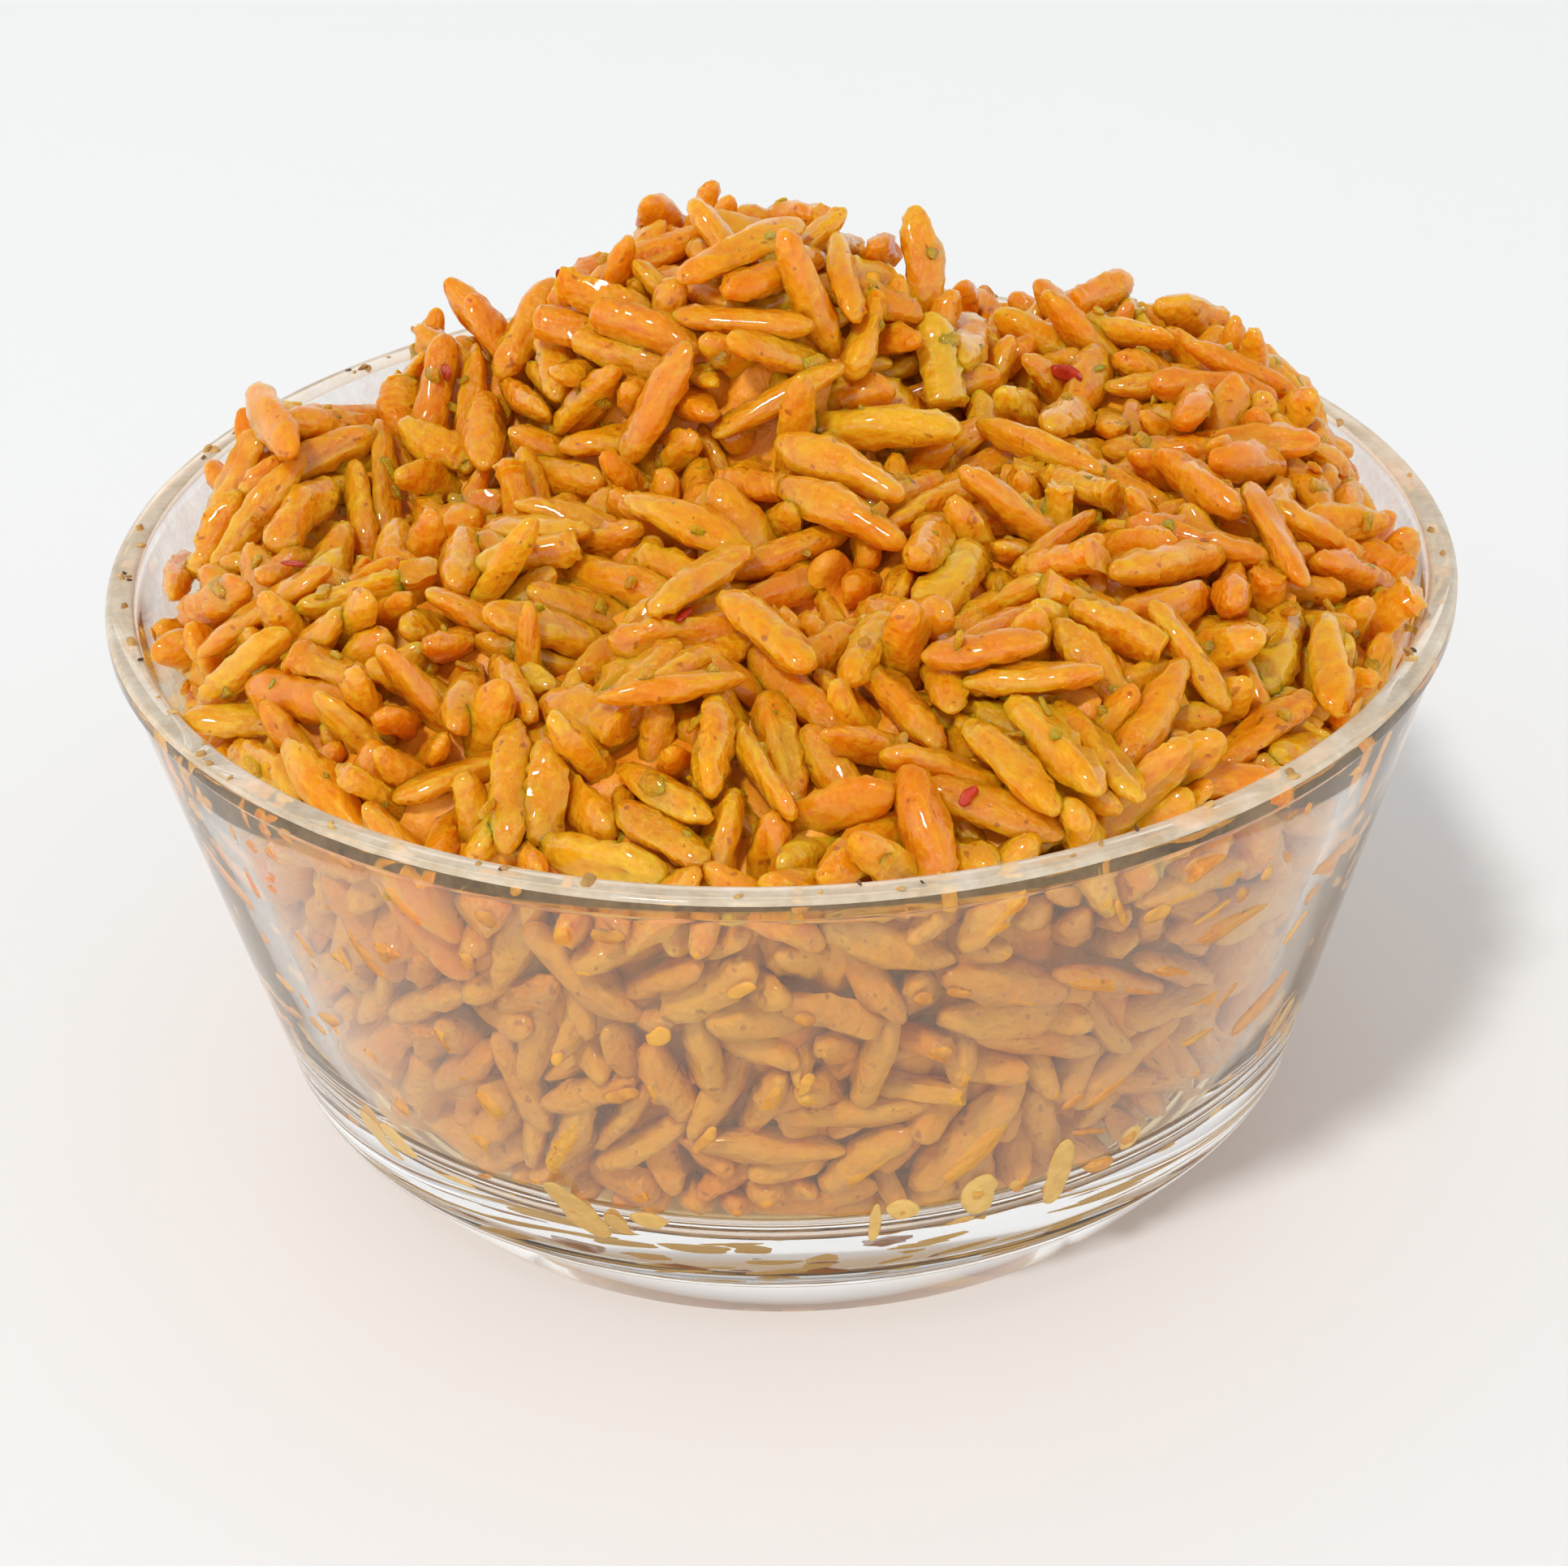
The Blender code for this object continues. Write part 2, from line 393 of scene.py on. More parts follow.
@dataclass(frozen=True)
class GlassFinish:
    """Clear pressed glass, with grease that dulls it in patches and, where food lies on it, a film."""

    name: str = "clear_glass"
    tint: tuple[float, ...] = (0.985, 0.99, 0.985, 1)
    shade: tuple[float, ...] = (0.97, 0.97, 0.96, 1)
    roughness: float = 0.0
    grease: float = 0.0
    # Below its top the glass is tinted. On the filmed inside the tint is an oil stain. At the foot of the
    # plain glass it is a painted refraction: a tan that stands in for the rice seen through the base.
    stain_and_painted_refraction: tuple[float, ...] = (0.72, 0.45, 0.22, 1)
    stain_and_painted_refraction_top: float = 2.0 * MM
    stain_and_painted_refraction_fade: float = 1.0 * MM
    film: Film | None = None

    def make(self) -> bpy.types.Material:
        """Builds the finish, which lets light through to what the glass holds.

        Returns:
            The material.
        """
        material, bench = new_material(self.name)
        place = bench.place()
        rise = bench.node("ShaderNodeSeparateXYZ", None, {0: place}, 2)
        # 0 below the tint's top and 1 above it. At the foot the tint is a painted refraction of the rice; on
        # the filmed inside it is an oil stain.
        untinted = rise.step(self.stain_and_painted_refraction_top - self.stain_and_painted_refraction_fade, self.stain_and_painted_refraction_top + self.stain_and_painted_refraction_fade)
        wave = bench.noise(place, 9 * MM, 1.0)
        sockets = {
            "Base Color": bench.blend(untinted, self.stain_and_painted_refraction, self.tint),
            "Roughness": self.roughness,
            "IOR": 1.5,
            "Transmission Weight": 1.0,
            "Normal": bench.bump(wave, 0.2, 0.10 * MM),
        }
        if self.grease:
            smear = bench.noise(place, 5 * MM, 3.0, (1.0, 1.0, 2.5)).step(0.45, 0.75)
            sockets["Roughness"] = self.roughness + smear * self.grease
        surface = bench.node("ShaderNodeBsdfPrincipled", None, sockets)
        if self.film is not None:
            surface = self._under_film(bench, place, surface)
        clear = bench.node("ShaderNodeBsdfTransparent", None, {"Color": self.shade})
        for ray in ("Is Diffuse Ray", "Is Shadow Ray"):
            share = bench.node("ShaderNodeLightPath", output=ray)
            surface = bench.node("ShaderNodeMixShader", None, {0: share, 1: surface, 2: clear})
        bench.finish(surface)
        return material

    def _under_film(self, bench: Bench, place: Signal, glass: Signal) -> Signal:
        """Lays the film over the glass.

        Args:
            bench: The material's bench.
            place: Object coordinates.
            glass: The glass without the film.

        Returns:
            The mixed shader.
        """
        film = self.film
        broad = bench.noise(place, 9 * MM, 1.5)
        streak = bench.noise(place, 2.2 * MM, 2.0, (1.0, 1.0, 3.0))
        fine = bench.noise(place, 0.5 * MM, 1.0)
        patchy = (broad - 0.5) * 0.35 + (streak - 0.5) * 0.3 + (fine - 0.5) * 0.2
        height = bench.node("ShaderNodeSeparateXYZ", None, {0: place}, 2)
        ragged = height + (streak - 0.5) * 1.5 * MM
        wall = ragged.step(film.floor_top - film.fade, film.floor_top + film.fade)
        cover = film.floor_cover + wall * (film.cover - film.floor_cover) + patchy * (wall * 0.8 + 0.2)
        colour = bench.blend(wall, film.floor_pale, bench.blend(streak, film.tan, film.pale))
        sockets = {"Base Color": colour, "Roughness": 0.45 + fine * 0.2, "Specular IOR Level": 0.25}
        starch = bench.node("ShaderNodeBsdfPrincipled", None, sockets)
        return bench.node("ShaderNodeMixShader", None, {0: cover, 1: glass, 2: starch})


GREASY_LIP = GlassFinish("greasy_lip", grease=0.4, film=LIP_FILM)
FILMED_GLASS = GlassFinish(
    "filmed_glass",
    stain_and_painted_refraction=(0.80, 0.70, 0.40, 1),
    stain_and_painted_refraction_top=36 * MM,
    stain_and_painted_refraction_fade=3 * MM,
    film=Film(),
)


@dataclass(frozen=True)
class SmearFinish:
    """Oil and rice paste where it wets the glass."""

    name: str
    light: tuple[float, ...]
    dark: tuple[float, ...]
    roughness: float = 0.3
    # Emission strength: painted light. It is a glow that stands in for the light that the glass base carries
    # to the paste from the side, which the render does not trace.
    painted_glow: float = 0.0

    def make(self) -> bpy.types.Material:
        """Builds the finish.

        Returns:
            The material.
        """
        material, bench = new_material(self.name)
        place = bench.place()
        tone = bench.attribute("tint") + (bench.noise(place, 0.8 * MM, 3.0) - 0.5) * 1.2
        fine = bench.noise(place, 0.25 * MM, 2.0)
        colour = bench.ramp(tone, ((0.2, self.dark), (0.8, self.light)))
        sockets = {
            "Base Color": colour,
            "Roughness": self.roughness + fine * 0.2,
            "Normal": bench.bump(fine, 0.5, 0.05 * MM),
        }
        # Painted light: the mark glows in its own colour.
        if self.painted_glow:
            sockets["Emission Color"] = colour
            sockets["Emission Strength"] = self.painted_glow
        bench.finish(bench.node("ShaderNodeBsdfPrincipled", None, sockets))
        return material


@dataclass(frozen=True)
class TableFinish:
    """The pale, matt table top."""

    name: str = "pale_table"
    colour: tuple[float, ...] = (0.915, 0.92, 0.92, 1)

    def make(self) -> bpy.types.Material:
        """Builds the finish.

        Returns:
            The material.
        """
        material, bench = new_material(self.name)
        place = bench.place()
        shade = bench.noise(place, 60 * MM, 3.0)
        warmer = tuple(part * 0.985 for part in self.colour[:3]) + (1,)
        sockets = {
            "Base Color": bench.blend(shade, self.colour, warmer),
            "Roughness": 0.45 + (bench.noise(place, 4 * MM, 2.0) - 0.5) * 0.1,
            "Specular IOR Level": 0.3,
        }
        bench.finish(bench.node("ShaderNodeBsdfPrincipled", None, sockets))
        return material


# ---------------------------------------------------------------- meshes


def new_piece(name: str, mesh: bpy.types.Mesh) -> bpy.types.Object:
    """An object at the origin, linked to the scene.

    Args:
        name: The object's name.
        mesh: Its mesh.

    Returns:
        The object.
    """
    piece = bpy.data.objects.new(name, mesh)
    bpy.context.scene.collection.objects.link(piece)
    return piece


def hand_over(piece: bpy.types.Object, slot: Slot, *nodes: str) -> None:
    """Attaches a finished piece to the root body, hides the CAD nodes that it stands for, and reports it.

    Args:
        piece: The piece.
        slot: Not used.
        nodes: The CAD nodes that it stands for.
    """
    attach(piece, "root")
    if nodes:
        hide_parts(*nodes)
    triangles = sum(len(face.vertices) - 2 for face in piece.data.polygons)
    LOG.info("%s: %d triangles", piece.name, triangles)


def grid_faces(rings: int, sides: int, start: int = 0) -> list[tuple[int, ...]]:
    """Quads of a tube whose rings follow one another.

    Args:
        rings: How many rings.
        sides: How many points in each.
        start: The first point's number.

    Returns:
        The faces, which point outwards where the rings turn anticlockwise about the way they go.
    """
    faces = []
    for ring in range(rings - 1):
        for side in range(sides):
            after = (side + 1) % sides
            low = start + ring * sides
            high = low + sides
            faces.append((low + side, low + after, high + after, high + side))
    return faces


def ball_faces(rings: int, sides: int) -> list[tuple[int, ...]]:
    """Faces of a closed shape: rings that follow one another, then the two points that close its ends.

    Args:
        rings: How many rings.
        sides: How many points in each.

    Returns:
        The faces, which point outwards where the rings turn clockwise about the way they go.
    """
    faces = [tuple(reversed(face)) for face in grid_faces(rings, sides)]
    first_end = rings * sides
    second_end = first_end + 1
    last = first_end - sides
    for side in range(sides):
        after = (side + 1) % sides
        faces.append((first_end, side, after))
        faces.append((second_end, last + after, last + side))
    return faces


def smooth_mesh(name: str, points: Sequence[Any], faces: Sequence[tuple[int, ...]]) -> bpy.types.Mesh:
    """A smoothly shaded mesh.

    Args:
        name: The mesh's name.
        points: Its points.
        faces: Its faces.

    Returns:
        The mesh.
    """
    mesh = bpy.data.meshes.new(name)
    mesh.from_pydata(points, [], faces)
    mesh.shade_smooth()
    return mesh


@dataclass(frozen=True)
class BowlShape:
    """The bowl's turned outline, the same as the frame's, in metres."""

    rim_radius: float
    height: float
    lip_thickness: float = 1.95 * MM
    lip_height: float = 1.2 * MM
    lip_rounding: float = 0.45 * MM
    lip_step: float = 0.5 * MM
    lip_gap: float = 0.6 * MM
    heel_radius: float = 36.0 * MM
    heel_height: float = 6.8 * MM
    heel_rounding: float = 1.2 * MM
    foot_radius: float = 31.0 * MM
    foot_rounding: float = 0.6 * MM
    foot_ring_width: float = 2.6 * MM
    recess_depth: float = 0.9 * MM
    undercut_normal: float = -40.0
    floor_height: float = 9.0 * MM
    floor_corner: float = 5.0 * MM
    taper: float = 0.28
    wall_parts: int = 8

    def inner_radius(self, height: Any) -> Any:
        """The inside radius of the straight wall at a height."""
        return self.rim_radius - self.lip_thickness - self.taper * (self.height - height)

    def corner(self) -> tuple[float, float]:
        """Centre (radius, height) of the inside corner's arc."""
        height = self.floor_height + self.floor_corner
        return self.inner_radius(height) - self.floor_corner * math.hypot(1, self.taper), height

    @staticmethod
    def arc(radius: float, height: float, size: float, start: float, end: float, steps: int) -> list:
        """Points on an arc of the outline.

        Args:
            radius: The arc centre's distance from the axis.
            height: The arc centre's height.
            size: The arc's own radius.
            start: First angle, in degrees.
            end: Last angle, in degrees.
            steps: How many pieces it has.

        Returns:
            (radius, height) points.
        """
        angles = [math.radians(start + (end - start) * step / steps) for step in range(steps + 1)]
        return [(radius + size * math.cos(angle), height + size * math.sin(angle)) for angle in angles]

    def inside(self) -> list[tuple[float, float]]:
        """The outline of the inside, from the floor's centre to just under the lip.

        Returns:
            (radius, height) points.
        """
        radius, height = self.corner()
        points = [(radius * part, self.floor_height) for part in (0, 0.25, 0.5, 0.75)]
        points += self.arc(radius, height, self.floor_corner, -90, -math.degrees(math.atan(self.taper)), 14)
        top = self.height - self.lip_rounding
        low = points[-1][1]
        parts = self.wall_parts - 1
        for part in range(1, parts + 1):
            level = low + (top - self.lip_gap - low) * part / parts
            points.append((self.inner_radius(level), level))
        return points

    def outside(self) -> list[tuple[float, float]]:
        """The rest of the outline, over the lip and down to the underside's centre.

        Returns:
            (radius, height) points.
        """
        lip_inner = self.rim_radius - self.lip_thickness
        top = self.height - self.lip_rounding
        points = self.arc(lip_inner + self.lip_rounding, top, self.lip_rounding, 180, 90, 6)
        points += self.arc(self.rim_radius - self.lip_rounding, top, self.lip_rounding, 90, 0, 6)
        base = self.height - self.lip_height
        points += self.arc(self.rim_radius - 0.2 * MM, base, 0.2 * MM, 0, -60, 3)
        step_radius = self.rim_radius - self.lip_step
        points += [(step_radius + 0.05 * MM, base - 0.55 * MM), (step_radius, base - 0.75 * MM)]
        heel_centre = self.heel_radius - self.heel_rounding
        heel = self.arc(heel_centre, self.heel_height, self.heel_rounding, 0, self.undercut_normal, 6)
        wall_top = points[-1]
        drop = [heel[0][i] - wall_top[i] for i in (0, 1)]
        for part in range(1, self.wall_parts):
            points.append(tuple(wall_top[i] + drop[i] * part / self.wall_parts for i in (0, 1)))
        points += heel
        rounding = self.foot_rounding
        points += self.arc(self.foot_radius - rounding, rounding, rounding, self.undercut_normal, -90, 4)
        foot_inner = self.foot_radius - rounding - self.foot_ring_width
        points += [(foot_inner, 0.0), (foot_inner - 0.35 * MM, 0.1 * MM)]
        points += [(foot_inner - self.recess_depth, self.recess_depth * 0.85)]
        points += [(foot_inner - self.recess_depth * 1.6, self.recess_depth)]
        points += [(foot_inner * part, self.recess_depth) for part in (0.6, 0.3, 0.0)]
        return points

    def depth_mm(self, points: np.ndarray) -> tuple[np.ndarray, np.ndarray]:
        """How far points lie from the inside of the glass.

        Args:
            points: N x 3 places in millimetres.

        Returns:
            The distances in millimetres, and the N x 3 directions away from the glass.
        """
        lean = math.atan(self.taper)
        across = np.hypot(points[:, 0], points[:, 1]) + 1e-9
        outward = points[:, :2] / across[:, None]
        height = points[:, 2]
        wall = (self.inner_radius(height * MM) / MM - across) * math.cos(lean)
        floor = height - self.floor_height / MM
        away = np.zeros_like(points)
        near_wall = wall < floor
        away[near_wall, :2] = -outward[near_wall] * math.cos(lean)
        away[near_wall, 2] = math.sin(lean)
        away[~near_wall, 2] = 1.0
        depth = np.minimum(wall, floor)
        radius, level = (part / MM for part in self.corner())
        over = across - radius
        up = height - level
        inside = (over > 0) & (over * math.sin(lean) + up * math.cos(lean) < 0)
        reach = np.hypot(over, up) + 1e-9
        size = self.floor_corner / MM
        depth[inside] = size - reach[inside]
        away[inside, :2] = -outward[inside] * (over[inside] / reach[inside])[:, None]
        away[inside, 2] = -up[inside] / reach[inside]
        return depth, away


@dataclass
class GlassBowl:
    """The clear glass bowl, turned from its outline."""

    shape: BowlShape
    segments: int = 256
    sharp_angle: float = 40.0
    finishes: tuple[GlassFinish, ...] = (GlassFinish(), GREASY_LIP, FILMED_GLASS)

    def turn(self, outline: Sequence[tuple[float, float]], name: str) -> bpy.types.Mesh:
        """Turns an outline whose ends lie on the axis into a closed mesh.

        Args:
            outline: (radius, height) points.
            name: The mesh's name.

        Returns:
            The mesh.
        """
        rings = outline[1:-1]
        angles = np.linspace(0, 2 * math.pi, self.segments, endpoint=False)
        points = [(0.0, 0.0, outline[0][1])]
        for radius, height in rings:
            points += [(radius * math.cos(angle), radius * math.sin(angle), height) for angle in angles]
        points.append((0.0, 0.0, outline[-1][1]))
        faces = grid_faces(len(rings), self.segments, 1)
        last = len(points) - 1
        final_ring = 1 + (len(rings) - 1) * self.segments
        for side in range(self.segments):
            after = (side + 1) % self.segments
            faces.append((0, 1 + after, 1 + side))
            faces.append((last, final_ring + side, final_ring + after))
        mesh = smooth_mesh(name, points, [tuple(reversed(face)) for face in faces])
        mesh.set_sharp_from_angle(angle=math.radians(self.sharp_angle))
        mesh.validate()
        return mesh

    def build(self) -> bpy.types.Object:
        """Turns the bowl, and gives the lip and the wetted inside their own finishes.

        Returns:
            The bowl piece.
        """
        inside = self.shape.inside()
        mesh = self.turn(inside + self.shape.outside(), "bowl_glass")
        for finish in self.finishes:
            mesh.materials.append(finish.make())
        lip = self.shape.height - self.shape.lip_rounding
        for face in mesh.polygons:
            across = math.hypot(face.center.x, face.center.y)
            if face.center.z > lip and face.normal.z > 0.3:
                face.material_index = 1
            elif face.center.z > self.shape.floor_height - 0.1 * MM:
                wall = self.shape.inner_radius(face.center.z)
                face.material_index = 2 if across < wall + 0.2 * MM else 0
        return new_piece("bowl_glass", mesh)


# ---------------------------------------------------------------- the heap's outline


@dataclass(frozen=True)
class Hollow:
    """A gap between grains on the heap, at a place (x, y), in millimetres."""

    x: float
    y: float
    width: float
    depth: float


class HeapOutline:
    """How deep a place lies under the outline of the frame's rice, in millimetres."""

    STEP = 1.5
    MARGIN = 6.0
    HOLLOWS = (
        Hollow(-20.5, -21.0, 2.3, 5.0),
        Hollow(-11.8, -35.0, 1.8, 4.5),
        Hollow(-29.0, -6.0, 4.0, 3.0),
        Hollow(-12.0, -18.0, 1.8, 3.5),
        Hollow(0.0, -17.0, 2.0, 3.0),
        Hollow(12.0, -20.0, 2.2, 3.0),
        Hollow(18.5, 8.0, 2.0, 3.0),
        Hollow(-2.0, -3.0, 2.0, 2.5),
        Hollow(26.0, -30.0, 1.6, 3.5),
    )

    def __init__(self, rice: bpy.types.Object, shape: BowlShape) -> None:
        """Reads the solid once into a grid of depths.

        Args:
            rice: The frame's rice.
            shape: The bowl's outline.
        """
        self.shape = shape
        mesh = rice.data
        points = np.empty(len(mesh.vertices) * 3)
        mesh.vertices.foreach_get("co", points)
        points = points.reshape(-1, 3) / MM
        faces = [tuple(face.vertices) for face in mesh.polygons]
        centres = np.array([points[list(face)].mean(axis=0) for face in faces])
        clear, _ = shape.depth_mm(centres)
        top_faces = [face for face, gap in zip(faces, clear) if gap > 0.8]
        vectors = [Vector(point) for point in points]
        solid = BVHTree.FromPolygons(vectors, faces)
        top = BVHTree.FromPolygons(vectors, top_faces)
        self.low = points.min(axis=0) - self.MARGIN
        high = points.max(axis=0) + self.MARGIN
        counts = np.ceil((high - self.low) / self.STEP).astype(int) + 1
        self.counts = counts
        xs, ys, zs = (self.low[axis] + self.STEP * np.arange(counts[axis]) for axis in range(3))
        heights = np.full((counts[0], counts[1]), np.nan)
        for i, x in enumerate(xs):
            for j, y in enumerate(ys):
                hit = solid.ray_cast(Vector((x, y, high[2] + 1)), Vector((0, 0, -1)))
                if hit[0] is not None:
                    heights[i, j] = hit[0].z
        self.heights = self._spread(heights)
        depth = np.empty(tuple(counts))
        for i, x in enumerate(xs):
            for j, y in enumerate(ys):
                level = self.heights[i, j]
                for k, z in enumerate(zs):
                    away = top.find_nearest(Vector((x, y, z)))[3]
                    depth[i, j, k] = away if z < level else -away
        grid = np.stack(np.meshgrid(xs, ys, zs, indexing="ij"), axis=-1)
        for hollow in self.HOLLOWS:
            centre = np.array((hollow.x, hollow.y, self.height_at(hollow.x, hollow.y)))
            near = np.sum((grid - centre) ** 2, axis=-1)
            depth -= hollow.depth * np.exp(-near / (2 * hollow.width**2))
        slope = np.stack(np.gradient(depth, self.STEP), axis=-1)
        self.table = np.concatenate([depth[..., None], slope], axis=-1)

    @staticmethod
    def _spread(heights: np.ndarray) -> np.ndarray:
        """Fills the columns outside the solid with their neighbours' heights.

        Args:
            heights: The heights, with nan where there is none.

        Returns:
            The heights with no nan.
        """
        heights = heights.copy()
        while np.isnan(heights).any():
            padded = np.pad(heights, 1, mode="edge")
            around = np.stack([padded[1:-1, :-2], padded[1:-1, 2:], padded[:-2, 1:-1], padded[2:, 1:-1]])
            known = np.isfinite(around)
            total = np.where(known, around, 0).sum(axis=0)
            count = known.sum(axis=0)
            fresh = np.isnan(heights) & (count > 0)
            heights[fresh] = total[fresh] / count[fresh]
        return heights

    def height_at(self, x: float, y: float) -> float:
        """The outline's height over a place, in millimetres.

        Args:
            x: The place's x.
            y: The place's y.

        Returns:
            The height.
        """
        i = int(round((x - self.low[0]) / self.STEP))
        j = int(round((y - self.low[1]) / self.STEP))
        return float(self.heights[i, j])

    def under_top(self, points: np.ndarray) -> tuple[np.ndarray, np.ndarray]:
        """Depth under the free surface of the heap.

        Args:
            points: N x 3 places in millimetres.

        Returns:
            The depths, and the N x 3 directions in which they grow.
        """
        place = (points - self.low) / self.STEP
        cell = np.clip(np.floor(place).astype(int), 0, self.counts - 2)
        part = np.clip(place - cell, 0, 1)
        result = np.zeros((len(points), 4))
        for corner in range(8):
            shift = np.array([(corner >> axis) & 1 for axis in range(3)])
            weight = np.prod(np.where(shift, part, 1 - part), axis=1)
            i, j, k = (cell + shift).T
            result += self.table[i, j, k] * weight[:, None]
        slope = result[:, 1:]
        slope = slope / (np.linalg.norm(slope, axis=1, keepdims=True) + 1e-6)
        return result[:, 0], slope

    def depth(self, points: np.ndarray) -> np.ndarray:
        """Depth under the nearest side of the heap, glass or free."""
        return np.minimum(self.under_top(points)[0], self.shape.depth_mm(points)[0])


# ---------------------------------------------------------------- grains


@dataclass(frozen=True)
class GrainShape:
    """One cooked grain's shape, with lengths as parts of its own length or thickness."""

    kind: GrainKind
    head: float
    tail: float
    flat: float
    bow: float
    crease: float
    crease_width: float
    lumps: float
    fray: float
    cut: float
    seed: int

    @staticmethod
    def draw(kind: GrainKind, seed: int) -> "GrainShape":
        """A grain of a kind, with its own small differences.

        Args:
            kind: What it looks like.
            seed: The seed of its differences.

        Returns:
            The shape.
        """
        rng = np.random.default_rng(seed)
        ends = {
            GrainKind.WHOLE: (2.0, 3.4),
            GrainKind.SLENDER: (1.7, 2.6),
            GrainKind.SPLIT: (2.0, 3.4),
            GrainKind.BROKEN: (2.4, 3.8),
        }[kind]
        return GrainShape(
            kind=kind,
            head=rng.uniform(*ends),
            tail=rng.uniform(*ends),
            flat=rng.uniform(0.66, 0.86),
            bow=rng.uniform(0.0, 0.11),
            crease=rng.uniform(0.42, 0.6) if kind is GrainKind.SPLIT else rng.uniform(0.05, 0.22),
            crease_width=rng.uniform(0.22, 0.34) if kind is GrainKind.SPLIT else rng.uniform(0.3, 0.5),
            lumps=rng.uniform(0.09, 0.17),
            fray=0.062 if kind is GrainKind.SPLIT else 0.048,
            cut=rng.uniform(0.25, 0.5) if kind is GrainKind.BROKEN else 0.0,
            seed=seed,
        )

    def build(self, name: str, rings: int, sides: int) -> bpy.types.Mesh:
        """The grain as a closed mesh along X, one long and one thick.

        Args:
            name: The mesh's name.
            rings: Rings along its length.
            sides: Points around it.

        Returns:
            The mesh, with each point's place on the grain kept as grain_place, in millimetres.
        """
        rng = np.random.default_rng(self.seed + 1000)
        turn = np.linspace(0, 1, rings + 2)[1:-1]
        along = -np.cos(math.pi * turn)
        power = self.tail + (self.head - self.tail) * (along + 1) / 2
        if self.cut:
            along = -1 + (along + 1) * (1 - self.cut / 2)
        body = (1 - np.abs(along) ** power) ** (1 / 2.1)
        if self.cut:
            body[-1] *= 0.93
        around = np.linspace(0, 2 * math.pi, sides, endpoint=False)
        length, angle = np.meshgrid(along, around, indexing="ij")
        radius = np.repeat(body[:, None], sides, axis=1)
        for _ in range(5):
            pitch = rng.uniform(1.5, 5.0)
            turns = rng.integers(0, 4)
            phase = rng.uniform(0, 2 * math.pi)
            radius *= 1 + self.lumps * 0.45 * np.sin(pitch * length + turns * angle + phase)
        for corners, height in ((3, 0.05), (4, 0.035)):
            radius *= 1 + height * np.cos(corners * angle + rng.uniform(0, 6.28) + 0.4 * length)
        side_angle = rng.uniform(0, 2 * math.pi)
        for side, share in ((side_angle, 1.0), (side_angle + rng.uniform(1.6, 3.2), 0.45)):
            offset = np.angle(np.exp(1j * (angle - side - 0.25 * length)))
            dent = np.exp(-((offset / self.crease_width) ** 2)) * (1 - np.abs(length) ** 3).clip(0, 1)
            radius *= 1 - self.crease * share * dent
        radius += rng.normal(0, self.fray, radius.shape) * (0.4 + body[:, None])
        across = radius * np.cos(angle) * 0.5
        deep = radius * np.sin(angle) * 0.5 * self.flat
        if self.cut:
            length[-1] += rng.normal(0, 0.02, sides)
        ends = [along[0] - 0.004, along[-1] + 0.004]
        if not self.cut:
            ends = [-1.0, 1.0]
        points = np.stack([length * 0.5, across, deep], axis=-1).reshape(-1, 3)
        poles = np.array([(ends[0] * 0.5, 0, 0), (ends[1] * 0.5, 0, 0)])
        points = np.concatenate([points, poles])
        points[:, 0] -= points[:, 0].mean() * (1 if self.cut else 0)
        local = points * np.array(USUAL_GRAIN) + self.seed * 3.1
        points[:, 2] += self.bow * BOW_DEPTH * (0.5 - 2 * points[:, 0] ** 2)
        faces = [tuple(reversed(face)) for face in ball_faces(rings, sides)]
        mesh = smooth_mesh(name, points.tolist(), faces)
        if self.cut:
            mesh.set_sharp_from_angle(angle=math.radians(55))
        places = mesh.attributes.new("grain_place", "FLOAT_VECTOR", "POINT")
        places.data.foreach_set("vector", local.ravel())
        return mesh


@dataclass
class Places:
    """Where the copies of stock pieces go, one row for each."""

    centres: np.ndarray
    turns: np.ndarray
    sizes: np.ndarray
    variants: np.ndarray
    tints: np.ndarray
    seeds: np.ndarray

    def pick(self, rows: np.ndarray) -> "Places":
        """The places that a mask or a list of rows chooses."""
        return Places(
            self.centres[rows],
            self.turns[rows],
            self.sizes[rows],
            self.variants[rows],
            self.tints[rows],
            self.seeds[rows],
        )


@dataclass
class SettledGrains:
    """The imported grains. Distances are in millimetres."""

    places: Places
    balls: np.ndarray
    under: np.ndarray
    clear: np.ndarray


